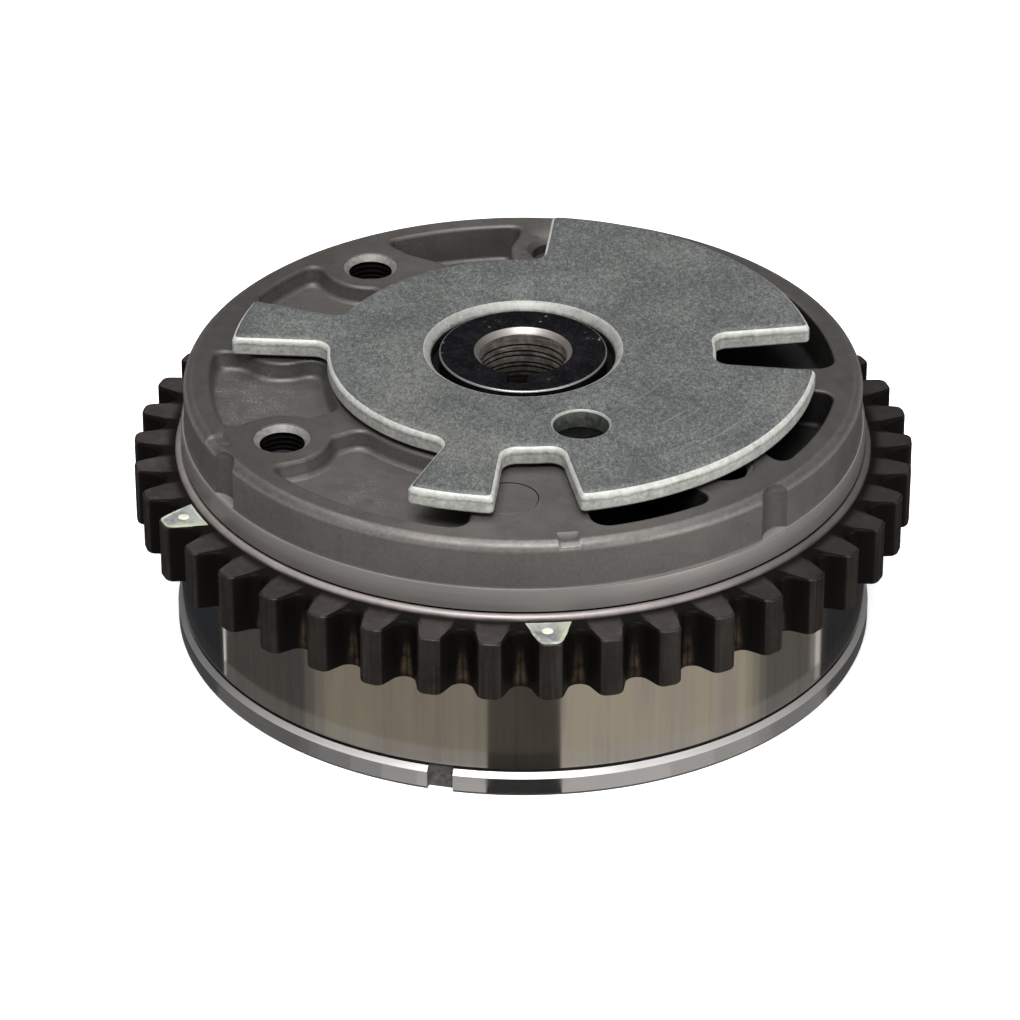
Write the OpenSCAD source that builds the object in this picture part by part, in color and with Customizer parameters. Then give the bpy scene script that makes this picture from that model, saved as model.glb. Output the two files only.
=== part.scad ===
// Vane-type camshaft phaser with a silent-chain sprocket and a trigger wheel.
// Millimetres. Z is the turning axis, z = 0 is the rear face, +Z is the front.

/* [Sprocket] */
// number of chain teeth
teeth = 42; // [36:1:48]
// radius over the tooth tips
tip_r = 53.5; // [48:0.1:60]
// radius at the bottom of the tooth gaps
root_r = 50.1; // [45:0.1:57]
// width of a tooth at its tip
tip_w = 2.8; // [2:0.1:4]
// rounding of the tooth corners
tip_c = 1.3; // [0.3:0.1:1.4]
// angle of the tooth that carries the front timing mark
tooth_a = 273.9; // [0:0.1:360]
// radius of the rounded lip in front of the teeth
lip_r = 47.8; // [47:0.1:50]

/* [Heights] */
// front face of the rear plate
plate_z = 3.3; // [2.5:0.1:5]
// rear face of the teeth, where the polished drum ends
drum_z = 18.3; // [12:0.1:24]
// front face of the teeth
teeth_z = 26.8; // [22:0.1:32]
// joint between drum and front cover
joint_z = 27.6; // [24:0.1:34]
// step on the cover wall
step_z = 31.0; // [28:0.1:35]
// front face of the cover
cover_z = 37.6; // [33:0.1:42]
// rear face of the trigger wheel
wheel_z0 = 38.2; // [34:0.1:42]
// front face of the trigger wheel
wheel_z1 = 41.0; // [36:0.1:46]

/* [Housing] */
// radius of the polished drum
drum_r = 47.6; // [44:0.1:50]
// radius of the spigot that carries the tooth ring
spigot_r = 46.2; // [43:0.1:48]
// radius of the rear plate
plate_r = 48.2; // [45:0.1:52]
// radius of the cam hole in the rear plate
plate_hole_r = 20.5; // [18:0.1:24]
// radius of the oil chambers
chamber_r = 42.3; // [38:0.1:44]
// radius at the tips of the inward lobes
lobe_r = 26.8; // [24:0.1:30]
// half angle of one lobe
lobe_h = 12.5; // [8:0.5:16]
// radius of the circle of clamp screws
screw_pcr = 37.2; // [33:0.1:40]
// radius of a clamp screw thread
screw_r = 2.95; // [2:0.05:4]
// angle of the rim notch of the rear plate
notch_a = 256.8; // [0:0.1:360]

/* [Cover] */
// radius of the upper wall of the cover
cover_r = 46.4; // [43:0.1:49]
// radius of the machined band below the step
band_r = 46.9; // [44:0.1:50]
// rounding of the front edge of the cover
edge_round = 1.4; // [0.3:0.1:2]
// outer radius of the pockets
pocket_r2 = 42.8; // [40:0.1:45]
// inner radius of the pockets
pocket_r1 = 26.6; // [23:0.1:30]
// depth of the shallow pockets
shallow = 2.6; // [1:0.1:5]
// depth of the deep pockets
deep = 5.0; // [3:0.1:8]
// corner radius of the pockets
pocket_c = 2.6; // [1:0.1:4]
// radius of a screw boss
boss_r = 6.3; // [4.5:0.1:8]

/* [Rotor] */
// turning range of the rotor, degrees
travel = 30; // [15:1:40]
// radius of the rotor body between the vanes
hub_r = 26.4; // [23:0.1:29]
// radius over the vane tips
vane_r = 41.9; // [37:0.1:43.5]
// half angle of a plain vane
vane_h = 13; // [8:0.5:16]
// radius of the rotor nose
nose_r = 16.0; // [14:0.1:19]
// radius of the camshaft pilot bore
pilot_r = 16.0; // [12:0.1:18]
// front end of the camshaft pilot bore
pilot_z = 11.0; // [8:0.1:14]

/* [Centre bush] */
// outer radius of the bush
bush_r = 11.45; // [9:0.05:13]
// radius of the bolt bore
bolt_r = 6.0; // [4:0.05:8]
// front face of the bush
bush_z = 40.6; // [37:0.1:42]

/* [Trigger wheel] */
// outer radius of the segments
wheel_r = 40.0; // [36:0.1:44]
// inner radius of the gaps
gap_r = 26.7; // [22:0.1:30]
// radius of the centre hole
wheel_hole_r = 12.6; // [12:0.1:15]
// radius of the setting hole
set_r = 3.75; // [2:0.05:5]

/* [Lock pin] */
// radius of the pin
pin_r = 4.0; // [3:0.1:5]
// distance of the pin from the axis
pin_pcr = 33.7; // [31:0.1:36]

/* [Hidden] */
$fn = 96;
screw_a = [40.5, 125.6, 210.3, 315.6];
lobe_next = [125.6, 210.3, 315.6, 400.5];
stop_gap = 0.5;
lock_h = (lobe_next[2] - screw_a[2] - 2 * lobe_h - travel - 2 * stop_gap) / 2;
lock_a = screw_a[2] + lobe_h + stop_gap + lock_h;
plain_a = [for (i = [0, 1, 3]) screw_a[i] + lobe_h + 2 + vane_h];
vane_a = concat(plain_a, [lock_a]);
rotor_z0 = plate_z + 0.1;
rotor_z1 = joint_z - 0.1;
seat_z0 = wheel_z0 - 2.0;
dowel_a = [83, 263];
dowel_pcr = 44.2;
dowel_r = 1.5;
plug_a = 266.7;
plug_pcr = 34.6;
plug_r = 4.0;
gap_round = 1.6;
lip_h = joint_z - teeth_z;

// one sector of a ring, from angle a1 to a2 and height z0 to z1
module ring_sector(r1, r2, a1, a2, z0, z1) {
    rotate([0, 0, a1]) rotate_extrude(angle = a2 - a1)
        translate([r1, z0]) square([r2 - r1, z1 - z0]);
}

// points along an arc round (d, a), from angle a1 to a2, in n steps
function arc(d, a, r, a1, a2, n) = [for (i = [0:n]) let (b = a1 + (a2 - a1) * i / n)
    [d * cos(a) + r * cos(b), d * sin(a) + r * sin(b)]];

// a ring sector whose four plan corners are rounded with radius c
module soft_sector(r1, r2, a1, a2, c, z0, z1) {
    d1 = asin(c / (r1 + c));
    d2 = asin(c / (r2 - c));
    n = ceil((a2 - a1) / 2.5);
    s1 = (a2 - a1 - 2 * d1) / n;
    s2 = (a2 - a1 - 2 * d2) / n;
    translate([0, 0, z0]) linear_extrude(height = z1 - z0) polygon(concat(
        arc(r1 + c, a1 + d1, c, a1 + d1 + 180, a1 + 270, 6),
        arc(r2 - c, a1 + d2, c, a1 + 270, a1 + d2 + 360, 6),
        arc(0, 0, r2, a1 + d2 + s2, a2 - d2 - s2, n - 2),
        arc(r2 - c, a2 - d2, c, a2 - d2, a2 + 90, 6),
        arc(r1 + c, a2 - d1, c, a2 + 90, a2 - d1 + 180, 6),
        arc(0, 0, r1, a2 - d1 - s1, a1 + d1 + s1, n - 2)));
}

// an upright cylinder at a distance and an angle from the axis
module post(d, a, r, z0, z1) {
    rotate([0, 0, a]) translate([d, 0, z0]) cylinder(r = r, h = z1 - z0);
}

// a radial bar of half width w
module radial_bar(r1, r2, a, w, z0, z1) {
    rotate([0, 0, a]) translate([r1, -w, z0]) cube([r2 - r1, 2 * w, z1 - z0]);
}

// a flat wedge from the axis outwards, h degrees to each side of angle a
module wedge(a, h) {
    polygon([[0, 0], [70 * cos(a - h), 70 * sin(a - h)], [70 * cos(a), 70 * sin(a)], [70 * cos(a + h), 70 * sin(a + h)]]);
}

// outline of one gap and its two tooth corners, by rising angle; the gap lies at angle 0
gap_c = root_r + gap_round;
gap_half = (2 * PI * tip_r / teeth - tip_w) / 2;
gap_h = tip_r - gap_c;
gap_t = atan2(gap_h, gap_half) - acos(gap_round / sqrt(gap_half * gap_half + gap_h * gap_h));
foot = [gap_c + gap_round * sin(gap_t), gap_round * cos(gap_t)];
lean = atan2(gap_half - foot[1], gap_c + gap_h - foot[0]);
start = [foot[0] - tip_c * sin(lean), foot[1] + tip_c * cos(lean)];
along = start[0] * cos(lean) + start[1] * sin(lean);
run = sqrt(along * along - start * start + (tip_r - tip_c) * (tip_r - tip_c)) - along;
corner = [start[0] + run * cos(lean), start[1] + run * sin(lean)];
corner_a = atan2(corner[1], corner[0]);
corner_pts = [for (i = [0:5]) let (b = lean - 90 + (corner_a - lean + 90) * i / 5)
    [corner[0] + tip_c * cos(b), corner[1] + tip_c * sin(b)]];
gap_pts = concat([for (i = [5:-1:0]) [corner_pts[i][0], -corner_pts[i][1]]],
    arc(gap_c, 0, gap_round, 270 + gap_t, 90 - gap_t, 10), corner_pts,
    [[tip_r * cos(180 / teeth), tip_r * sin(180 / teeth)]]);

// all teeth as one flat outline
module tooth_outline() {
    polygon([for (i = [0:teeth - 1]) for (p = gap_pts) let (a = tooth_a + (i + 0.5) * 360 / teeth)
        [p[0] * cos(a) - p[1] * sin(a), p[0] * sin(a) + p[1] * cos(a)]]);
}

// a bowed leaf spring that lies along the axis at radius r
module leaf(r, a, z0, z1) {
    bow = 0.22;
    thick = 0.2;
    wide = 1.3;
    half = (z1 - z0) / 2;
    big = (half * half + bow * bow) / (2 * bow);
    rotate([0, 0, a]) translate([r, 0, z0 + half]) intersection() {
        translate([0, -wide / 2, -half]) cube([1, wide, 2 * half]);
        translate([big, wide, 0]) rotate([90, 0, 0]) difference() {
            cylinder(r = big, h = 2 * wide, $fn = 720);
            translate([0, 0, -1]) cylinder(r = big - thick, h = 2 * wide + 2, $fn = 720);
        }
    }
}

// round wire bent to a helix, with n turns
module coil(radius, wire, z0, z1, n) {
    sides = 8;
    steps = 20 * n;
    pts = [for (i = [0:steps]) for (k = [0:sides - 1])
        let (a = 360 * n * i / steps, z = z0 + wire + (z1 - z0 - 2 * wire) * i / steps, b = 360 * k / sides)
        [(radius + wire * cos(b)) * cos(a), (radius + wire * cos(b)) * sin(a), z + wire * sin(b)]];
    skin = [for (i = [0:steps - 1]) for (k = [0:sides - 1])
        let (p = i * sides, q = (i + 1) * sides, m = (k + 1) % sides)
        [p + k, q + k, q + m, p + m]];
    ends = [[for (k = [0:sides - 1]) k], [for (k = [0:sides - 1]) (steps + 1) * sides - 1 - k]];
    polyhedron(points = pts, faces = concat(skin, ends));
}

// wall, floors and lands of the cover, before the holes
module cover_body() {
    rotate_extrude() polygon(concat(
        [[16.3, joint_z], [band_r - 0.15, joint_z], [band_r, joint_z + 0.12], [band_r, step_z - 0.15],
         [cover_r, step_z]],
        [for (t = [0:15:90]) [cover_r - edge_round + edge_round * cos(t), cover_z - edge_round + edge_round * sin(t)]],
        [[22.0, cover_z], [22.0, seat_z0 - 0.4], [16.3, seat_z0 - 0.4]]));
}

// the eight pockets in the front of the cover
module cover_pockets() {
    difference() {
        union() {
            for (p = [[0.8, 40.5, deep], [40.5, 82.9, deep], [82.9, 125.6, deep], [125.6, 152.5, shallow],
                      [168, 210.3, shallow], [210.3, 260.2, shallow], [282.5, 306.3, deep], [315.6, 351.8, deep]])
                soft_sector(pocket_r1, pocket_r2, p[0], p[1], pocket_c, cover_z - p[2], cover_z + 1);
        }
        for (a = screw_a) {
            post(screw_pcr, a, boss_r, joint_z, cover_z + 2);
            radial_bar(pocket_r1 - 2, screw_pcr, a, 3.0, joint_z, cover_z + 2);
            radial_bar(screw_pcr, pocket_r2 + 2, a, 6.0, joint_z, cover_z + 2);
        }
        post(35.7, 82.9, 6.0, joint_z, cover_z + 2);
        post(33.7, 168, 5.1, joint_z, cover_z + 2);
        radial_bar(pocket_r1 - 2, pocket_r2 + 2, 82.9, 5.4, joint_z, cover_z + 2);
        // the slanting land beside the rear screw boss
        translate([0, 0, joint_z]) linear_extrude(height = cover_z + 2 - joint_z)
            polygon([[-20.5, 36.5], [-21.7, 30.2], [-11.6, 16.3], [-3, 26.25]]);
        radial_bar(pocket_r1 - 2, pocket_r2 + 2, 168, 3.2, joint_z, cover_z + 2);
    }
}

module front_cover() {
    color([0.36, 0.35, 0.33]) difference() {
        cover_body();
        cover_pockets();
        for (a = screw_a) {
            post(screw_pcr, a, screw_r + 0.05, joint_z - 1, cover_z + 1);
            rotate([0, 0, a]) translate([screw_pcr, 0, cover_z - 1.05])
                cylinder(r1 = screw_r - 0.15, r2 = screw_r + 1.0, h = 1.15);
        }
        // blind dimple beside the wheel and the seat of the plug
        post(35.7, 82.9, 3.1, cover_z - 2.5, cover_z + 1);
        rotate([0, 0, 82.9]) translate([35.7, 0, cover_z - 0.75]) cylinder(r1 = 3.05, r2 = 3.9, h = 0.85);
        post(plug_pcr, plug_a, plug_r + 0.03, cover_z - 5, cover_z + 1);
        for (a = dowel_a) post(dowel_pcr, a, dowel_r + 0.02, joint_z - 1, joint_z + 3.8);
        // upright grooves in the wall and shallow marks in the rim
        for (a = [211.1, 315.45]) post(48.1, a, 3.0, step_z, cover_z + 1);
        ring_sector(41.3, cover_r + 1, 203.4, 207.6, cover_z - 0.5, cover_z + 1);
        ring_sector(41.3, cover_r + 1, 275.7, 279.4, cover_z - 0.5, cover_z + 1);
    }
}

module cover_plug() {
    color([0.38, 0.37, 0.35]) post(plug_pcr, plug_a, plug_r, cover_z - 4.9, cover_z - 0.05);
}

module sprocket_ring() {
    color([0.16, 0.14, 0.13]) difference() {
        union() {
            translate([0, 0, drum_z]) linear_extrude(height = teeth_z - drum_z) tooth_outline();
            rotate_extrude() polygon(concat([[spigot_r - 1, teeth_z - 1], [lip_r, teeth_z - 1]],
                [for (t = [0:15:90]) [lip_r - lip_h + lip_h * cos(t), teeth_z + lip_h * sin(t)]],
                [[spigot_r - 1, joint_z]]));
        }
        translate([0, 0, drum_z - 1]) cylinder(r = spigot_r + 0.05, h = joint_z);
    }
}

module stator() {
    color([0.55, 0.52, 0.48]) difference() {
        rotate_extrude() polygon([[lobe_r, plate_z], [drum_r - 0.4, plate_z], [drum_r - 0.4, plate_z + 0.4],
            [drum_r, plate_z + 0.55], [drum_r, drum_z], [spigot_r, drum_z], [spigot_r, joint_z], [lobe_r, joint_z]]);
        for (i = [0:3]) ring_sector(lobe_r - 2, chamber_r, screw_a[i] + lobe_h, lobe_next[i] - lobe_h, plate_z - 1, joint_z + 1);
        for (a = screw_a) {
            post(screw_pcr, a, screw_r + 0.2, plate_z - 1, joint_z + 1);
            radial_bar(lobe_r - 2, 29.7, a, 0.8, plate_z - 1, joint_z + 1);
        }
        for (a = dowel_a) post(dowel_pcr, a, dowel_r + 0.02, plate_z - 1, joint_z + 1);
    }
}

module rear_plate() {
    color([0.62, 0.6, 0.58]) difference() {
        rotate_extrude() polygon([[plate_hole_r, 0], [plate_r - 0.3, 0], [plate_r, 0.3], [plate_r, plate_z - 0.65],
            [plate_r - 0.7, plate_z], [plate_hole_r, plate_z]]);
        radial_bar(plate_r - 1.0, plate_r + 2, notch_a, 1.72, -1, plate_z + 1);
        for (a = screw_a) {
            post(screw_pcr, a, screw_r + 0.15, -1, plate_z + 1);
            rotate([0, 0, a]) translate([screw_pcr, 0, -1])
                cylinder(r1 = screw_r + 4.13, r2 = screw_r + 0.03, h = 4.1);
        }
        for (a = dowel_a) post(dowel_pcr, a, dowel_r + 0.02, 1.2, plate_z + 1);
        post(pin_pcr, lock_a, 5.52, 0.4, plate_z + 1);
        post(pin_pcr, lock_a, 1.5, -1, 1);
    }
}

module clamp_screws() {
    color([0.3, 0.3, 0.31]) for (a = screw_a) rotate([0, 0, a]) translate([screw_pcr, 0, 0]) difference() {
        union() {
            translate([0, 0, 0.15]) cylinder(r1 = screw_r + 2.95, r2 = screw_r, h = 2.95);
            translate([0, 0, 3.05]) cylinder(r = screw_r, h = cover_z - 3.2 - 0.5 - 3.05);
            translate([0, 0, cover_z - 3.7]) cylinder(r1 = screw_r, r2 = screw_r - 0.5, h = 0.5);
        }
        translate([0, 0, -1]) cylinder(r = 2.3, h = 3, $fn = 6);
    }
}

module dowel_pins() {
    color([0.6, 0.6, 0.6]) for (a = dowel_a) post(dowel_pcr, a, dowel_r, 1.25, joint_z + 3.6);
}

module lock_seat() {
    color([0.45, 0.45, 0.46]) rotate([0, 0, lock_a]) translate([pin_pcr, 0, 0]) difference() {
        translate([0, 0, 0.4]) cylinder(r = 5.5, h = plate_z - 0.4);
        translate([0, 0, 0]) cylinder(r1 = 3.6, r2 = 4.3, h = plate_z + 0.5);
    }
}

module stator_seals() {
    color([0.12, 0.12, 0.12]) for (a = screw_a) radial_bar(hub_r + 0.1, 29.1, a, 0.75, plate_z + 0.1, joint_z - 0.1);
}

module stator_seal_springs() {
    color([0.7, 0.7, 0.7]) for (a = screw_a) leaf(29.15, a, plate_z + 2, joint_z - 2);
}

module rotor() {
    color([0.4, 0.39, 0.38]) difference() {
        union() {
            translate([0, 0, rotor_z0]) linear_extrude(height = rotor_z1 - rotor_z0) {
                rotate(plain_a[0]) circle(r = hub_r);
                intersection() {
                    rotate(plain_a[0]) circle(r = vane_r);
                    union() {
                        for (a = plain_a) wedge(a, vane_h);
                        wedge(lock_a, lock_h);
                    }
                }
            }
            translate([0, 0, rotor_z1 - 1]) cylinder(r = nose_r, h = seat_z0 - rotor_z1 + 1);
        }
        translate([0, 0, -1]) cylinder(r = pilot_r, h = pilot_z + 1);
        rotate([0, 0, plain_a[0]]) cylinder(r = bush_r + 0.02, h = wheel_z1);
        for (a = vane_a) radial_bar(39.0, vane_r + 2, a, 0.8, 0, wheel_z1);
        // lock pin bore and the seat of its cap
        post(pin_pcr, lock_a, pin_r + 0.05, 0, wheel_z1);
        post(pin_pcr, lock_a, pin_r + 0.92, rotor_z1 - 3.1, wheel_z1);
        // oil galleries beside each vane root
        for (a = plain_a) {
            rotate([0, 0, a - vane_h - 4]) translate([8, 0, 15]) rotate([0, 90, 0]) cylinder(r = 1.0, h = hub_r - 6);
            rotate([0, 0, a + vane_h + 4]) translate([8, 0, 20]) rotate([0, 90, 0]) cylinder(r = 1.0, h = hub_r - 6);
        }
        post(18.2, lock_a + 180, 1.27, 0, rotor_z0 + 5);
    }
}

module hub_bush() {
    color([0.1, 0.1, 0.11]) difference() {
        rotate_extrude() polygon([[bolt_r, pilot_z], [bush_r, pilot_z],
            [bush_r, 14.2], [bush_r - 0.8, 14.2], [bush_r - 0.8, 15.8], [bush_r, 15.8],
            [bush_r, 19.2], [bush_r - 0.8, 19.2], [bush_r - 0.8, 20.8], [bush_r, 20.8],
            [bush_r, bush_z - 0.25], [bush_r - 0.25, bush_z], [bolt_r + 0.7, bush_z], [bolt_r, bush_z - 0.7]]);
        // key notch at the mouth of the bore
        rotate([0, 0, 264.7]) translate([bolt_r - 1, -1.37, bush_z - 2]) cube([4.0, 2.74, 3]);
    }
}

module trigger_seat() {
    color([0.2, 0.2, 0.2]) translate([0, 0, seat_z0]) difference() {
        cylinder(r = 21.3, h = wheel_z0 - seat_z0);
        translate([0, 0, -1]) cylinder(r = bush_r + 0.03, h = 5);
    }
}

module trigger_wheel() {
    color([0.5, 0.51, 0.5]) difference() {
        translate([0, 0, wheel_z0]) cylinder(r = wheel_r, h = wheel_z1 - wheel_z0);
        translate([0, 0, wheel_z0 - 1]) cylinder(r = wheel_hole_r, h = 5);
        translate([0, 0, wheel_z1 - 1.15]) cylinder(r1 = wheel_hole_r - 0.05, r2 = wheel_hole_r + 1.2, h = 1.25);
        translate([7.7, -20.9, wheel_z0 - 1]) cylinder(r = set_r, h = 5);
        for (g = [[84, 158.8, gap_r], [175.6, 247.8, gap_r], [264.5, 280.8, gap_r + 0.3], [352.2, 369.3, gap_r - 0.4]])
            soft_sector(g[2], wheel_r + 6, g[0], g[1], 2.0, wheel_z0 - 1, wheel_z1 + 1);
    }
}

module vane_seals() {
    color([0.12, 0.12, 0.12]) for (a = vane_a) radial_bar(39.75, chamber_r - 0.1, a, 0.75, rotor_z0 + 0.05, rotor_z1 - 0.05);
}

module vane_seal_springs() {
    color([0.7, 0.7, 0.7]) for (a = vane_a) leaf(39.1, a, rotor_z0 + 2, rotor_z1 - 2);
}

module lock_cap() {
    color([0.5, 0.5, 0.5]) rotate([0, 0, lock_a]) translate([pin_pcr, 0, rotor_z1 - 3.1]) difference() {
        cylinder(r = pin_r + 0.9, h = 3.0);
        translate([0, 0, -1]) cylinder(r = 1.0, h = 5);
    }
}

module cam_dowel() {
    color([0.6, 0.6, 0.6]) post(18.2, lock_a + 180, 1.25, 0.6, rotor_z0 + 4.9);
}

module lock_pin() {
    color([0.55, 0.55, 0.57]) rotate([0, 0, lock_a]) translate([pin_pcr, 0, 0]) difference() {
        rotate_extrude() polygon([[0, 3.7], [pin_r - 0.6, 3.7], [pin_r, 4.9], [pin_r, 17], [0, 17]]);
        translate([0, 0, 8]) cylinder(r = 2.7, h = 12);
    }
}

module lock_spring() {
    color([0.7, 0.7, 0.7]) rotate([0, 0, lock_a]) translate([pin_pcr, 0, 0]) coil(2.05, 0.42, 8.02, rotor_z1 - 3.12, 7);
}

front_cover();
cover_plug();
sprocket_ring();
stator();
rear_plate();
clamp_screws();
dowel_pins();
lock_seat();
stator_seals();
stator_seal_springs();
rotor();
hub_bush();
trigger_seat();
trigger_wheel();
vane_seals();
vane_seal_springs();
lock_cap();
cam_dowel();
lock_pin();
lock_spring();
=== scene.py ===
"""Visual model of a vane-type camshaft phaser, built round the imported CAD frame. Lengths are millimetres until a mesh is made."""
import math

import bpy
import numpy as np
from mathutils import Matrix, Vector
from mathutils.geometry import delaunay_2d_cdt


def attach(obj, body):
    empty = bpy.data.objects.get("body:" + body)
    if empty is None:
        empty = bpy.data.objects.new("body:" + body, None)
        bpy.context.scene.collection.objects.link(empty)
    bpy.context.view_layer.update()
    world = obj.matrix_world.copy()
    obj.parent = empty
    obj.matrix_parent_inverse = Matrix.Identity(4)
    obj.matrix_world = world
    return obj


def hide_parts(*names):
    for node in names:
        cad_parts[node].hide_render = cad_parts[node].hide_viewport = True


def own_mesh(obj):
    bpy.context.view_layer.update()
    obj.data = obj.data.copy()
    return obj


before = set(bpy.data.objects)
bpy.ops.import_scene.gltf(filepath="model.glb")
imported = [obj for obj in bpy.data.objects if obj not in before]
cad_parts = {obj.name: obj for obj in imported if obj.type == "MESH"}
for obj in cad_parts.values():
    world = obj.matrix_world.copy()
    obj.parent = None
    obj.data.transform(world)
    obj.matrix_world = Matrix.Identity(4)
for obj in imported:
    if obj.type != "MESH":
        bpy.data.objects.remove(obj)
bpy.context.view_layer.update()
SCENE = bpy.context.scene

# ---------------------------------------------------------------- dimensions, as in the CAD
TEETH, TIP_R, ROOT_R, TIP_W, TIP_C, TOOTH_A, LIP_R = 42, 53.5, 50.1, 2.8, 1.3, 273.9, 47.8
PLATE_Z, DRUM_Z, TEETH_Z, JOINT_Z, STEP_Z, COVER_Z = 3.3, 18.3, 26.8, 27.6, 31.0, 37.6
WHEEL_Z0, WHEEL_Z1 = 38.2, 41.0
DRUM_R, SPIGOT_R, PLATE_R, PLATE_HOLE_R = 47.6, 46.2, 48.2, 20.5
CHAMBER_R, LOBE_R, LOBE_H, SCREW_PCR, SCREW_R, NOTCH_A = 42.3, 26.8, 12.5, 37.2, 2.95, 256.8
COVER_R, BAND_R, EDGE = 46.4, 46.9, 1.4
P_R1, P_R2, SHALLOW, DEEP, P_C, BOSS_R = 26.6, 42.8, 2.6, 5.0, 2.6, 6.3
BUSH_R, BOLT_R, BUSH_Z = 11.45, 6.0, 40.6
WHEEL_R, GAP_R, WHEEL_HOLE_R, SET_R, SET_XY = 40.0, 26.7, 12.6, 3.75, (7.7, -20.9)
SCREW_A = (40.5, 125.6, 210.3, 315.6)
PLUG_A, PLUG_PCR, PLUG_R = 266.7, 34.6, 4.0
LOCK_A, PIN_PCR = 247.95, 33.7


def at(r, a):
    return r * math.cos(math.radians(a)), r * math.sin(math.radians(a))


# ---------------------------------------------------------------- mesh making
class Builder:
    """Collects patches with their own normals, welds them and makes one object."""

    def __init__(self):
        self.v, self.n, self.f, self.m, self.base = [], [], [], [], 0

    def patch(self, v, n, faces, mat=0):
        v, n = np.asarray(v, float), np.asarray(n, float)
        n = n / np.maximum(np.linalg.norm(n, axis=1, keepdims=True), 1e-12)
        for f in faces:
            f = [int(i) for i in f]
            p = v[f]
            g = np.zeros(3)
            for k in range(len(f)):
                g += np.cross(p[k], p[(k + 1) % len(f)])
            if g @ n[f].sum(0) < 0:
                f = f[::-1]
            self.f.append([i + self.base for i in f])
            self.m.append(mat)
        self.v.append(v)
        self.n.append(n)
        self.base += len(v)

    def strip(self, loops, norms, closed=True, mat=0):
        k = len(loops[0])
        v, n = np.vstack(loops), np.vstack(norms)
        faces = []
        for a in range(len(loops) - 1):
            for i in range(k if closed else k - 1):
                j = (i + 1) % k
                faces.append((a * k + i, a * k + j, (a + 1) * k + j, (a + 1) * k + i))
        self.patch(v, n, faces, mat)

    def revolve(self, prof, angles, closed=True, mat=0, sharp=32.0, centre=(0.0, 0.0)):
        """prof runs up the outside, inwards over the top and down the inside, so its right side is the outside."""
        prof = np.asarray(prof, float)
        seg = prof[1:] - prof[:-1]
        nrm = np.stack([seg[:, 1], -seg[:, 0]], 1)
        nrm /= np.maximum(np.linalg.norm(nrm, axis=1, keepdims=True), 1e-12)
        a = np.radians(np.asarray(angles, float))
        c, s = np.cos(a), np.sin(a)
        chains, cur = [], [0]
        for i in range(1, len(seg)):
            if nrm[i] @ nrm[i - 1] < math.cos(math.radians(sharp)):
                chains.append(cur)
                cur = []
            cur.append(i)
        chains.append(cur)
        for ch in chains:
            loops, norms = [], []
            for k in range(ch[0], ch[-1] + 2):
                near = [nrm[q] for q in (k - 1, k) if ch[0] <= q <= ch[-1]]
                m = np.mean(near, 0)
                r, z = prof[k]
                loops.append(np.stack([centre[0] + r * c, centre[1] + r * s, np.full_like(c, z)], 1))
                norms.append(np.stack([m[0] * c, m[0] * s, np.full_like(c, m[1])], 1))
            self.strip(loops, norms, closed, mat)

    def make(self, name, mats, body, replaces=()):
        v, n = np.vstack(self.v), np.vstack(self.n)
        _, first, inv = np.unique(np.round(v, 4), axis=0, return_index=True, return_inverse=True)
        inv = inv.ravel()
        faces, mi, corner = [], [], []
        for f, m in zip(self.f, self.m):
            g, c = [], []
            for i in f:
                if not g or inv[i] != g[-1]:
                    g.append(int(inv[i]))
                    c.append(n[i])
            if len(g) > 1 and g[0] == g[-1]:
                g.pop()
                c.pop()
            if len(set(g)) < 3 or len(set(g)) != len(g):
                continue
            faces.append(g)
            mi.append(m)
            corner.extend(c)
        me = bpy.data.meshes.new(name)
        me.from_pydata([tuple(p) for p in v[first] * 0.001], [], faces)
        for m in mats:
            me.materials.append(m)
        me.polygons.foreach_set("material_index", mi)
        me.shade_smooth()
        me.update()
        me.normals_split_custom_set([tuple(c) for c in corner])
        ob = bpy.data.objects.new(name, me)
        SCENE.collection.objects.link(ob)
        if replaces:
            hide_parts(*replaces)
        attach(ob, body)
        return ob


def ring(r, k, z, cx=0.0, cy=0.0):
    a = 2 * np.pi * np.arange(k) / k
    return np.stack([cx + r * np.cos(a), cy + r * np.sin(a), np.full(k, float(z))], 1)


def around(k):
    return 360.0 * np.arange(k) / k


UP, DOWN = (0.0, 0.0, 1.0), (0.0, 0.0, -1.0)


# ---------------------------------------------------------------- flat fields: signed distance, contours, fills
def smin(a, b, k):
    h = np.clip(0.5 + 0.5 * (b - a) / k, 0, 1)
    return b * (1 - h) + a * h - k * h * (1 - h)


def smax(a, b, k):
    return -smin(-a, -b, k)


def d_circle(x, y, r, a, rad):
    cx, cy = at(r, a)
    return np.hypot(x - cx, y - cy) - rad


def d_bar(x, y, r1, r2, a, w):
    ca, sa = math.cos(math.radians(a)), math.sin(math.radians(a))
    u, v = x * ca + y * sa, -x * sa + y * ca
    du, dv = np.abs(u - (r1 + r2) / 2) - (r2 - r1) / 2, np.abs(v) - w
    return np.hypot(np.maximum(du, 0), np.maximum(dv, 0)) + np.minimum(np.maximum(du, dv), 0)


def d_sector(x, y, r1, r2, a1, a2, c):
    r, th = np.hypot(x, y), np.degrees(np.arctan2(y, x))
    mid, half = (a1 + a2) / 2, (a2 - a1) / 2
    d = (th - mid + 180) % 360 - 180

    def side(q):
        s = r * np.sin(np.radians(q))
        return np.where(q < -90, -r, np.where(q > 90, r, s))

    s1, s2 = side(d + half), side(half - d)
    p = np.maximum(r1 + c - r, r - (r2 - c))
    q = np.maximum(c - s1, c - s2)
    return np.hypot(np.maximum(p, 0), np.maximum(q, 0)) + np.minimum(np.maximum(p, q), 0) - c


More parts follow.
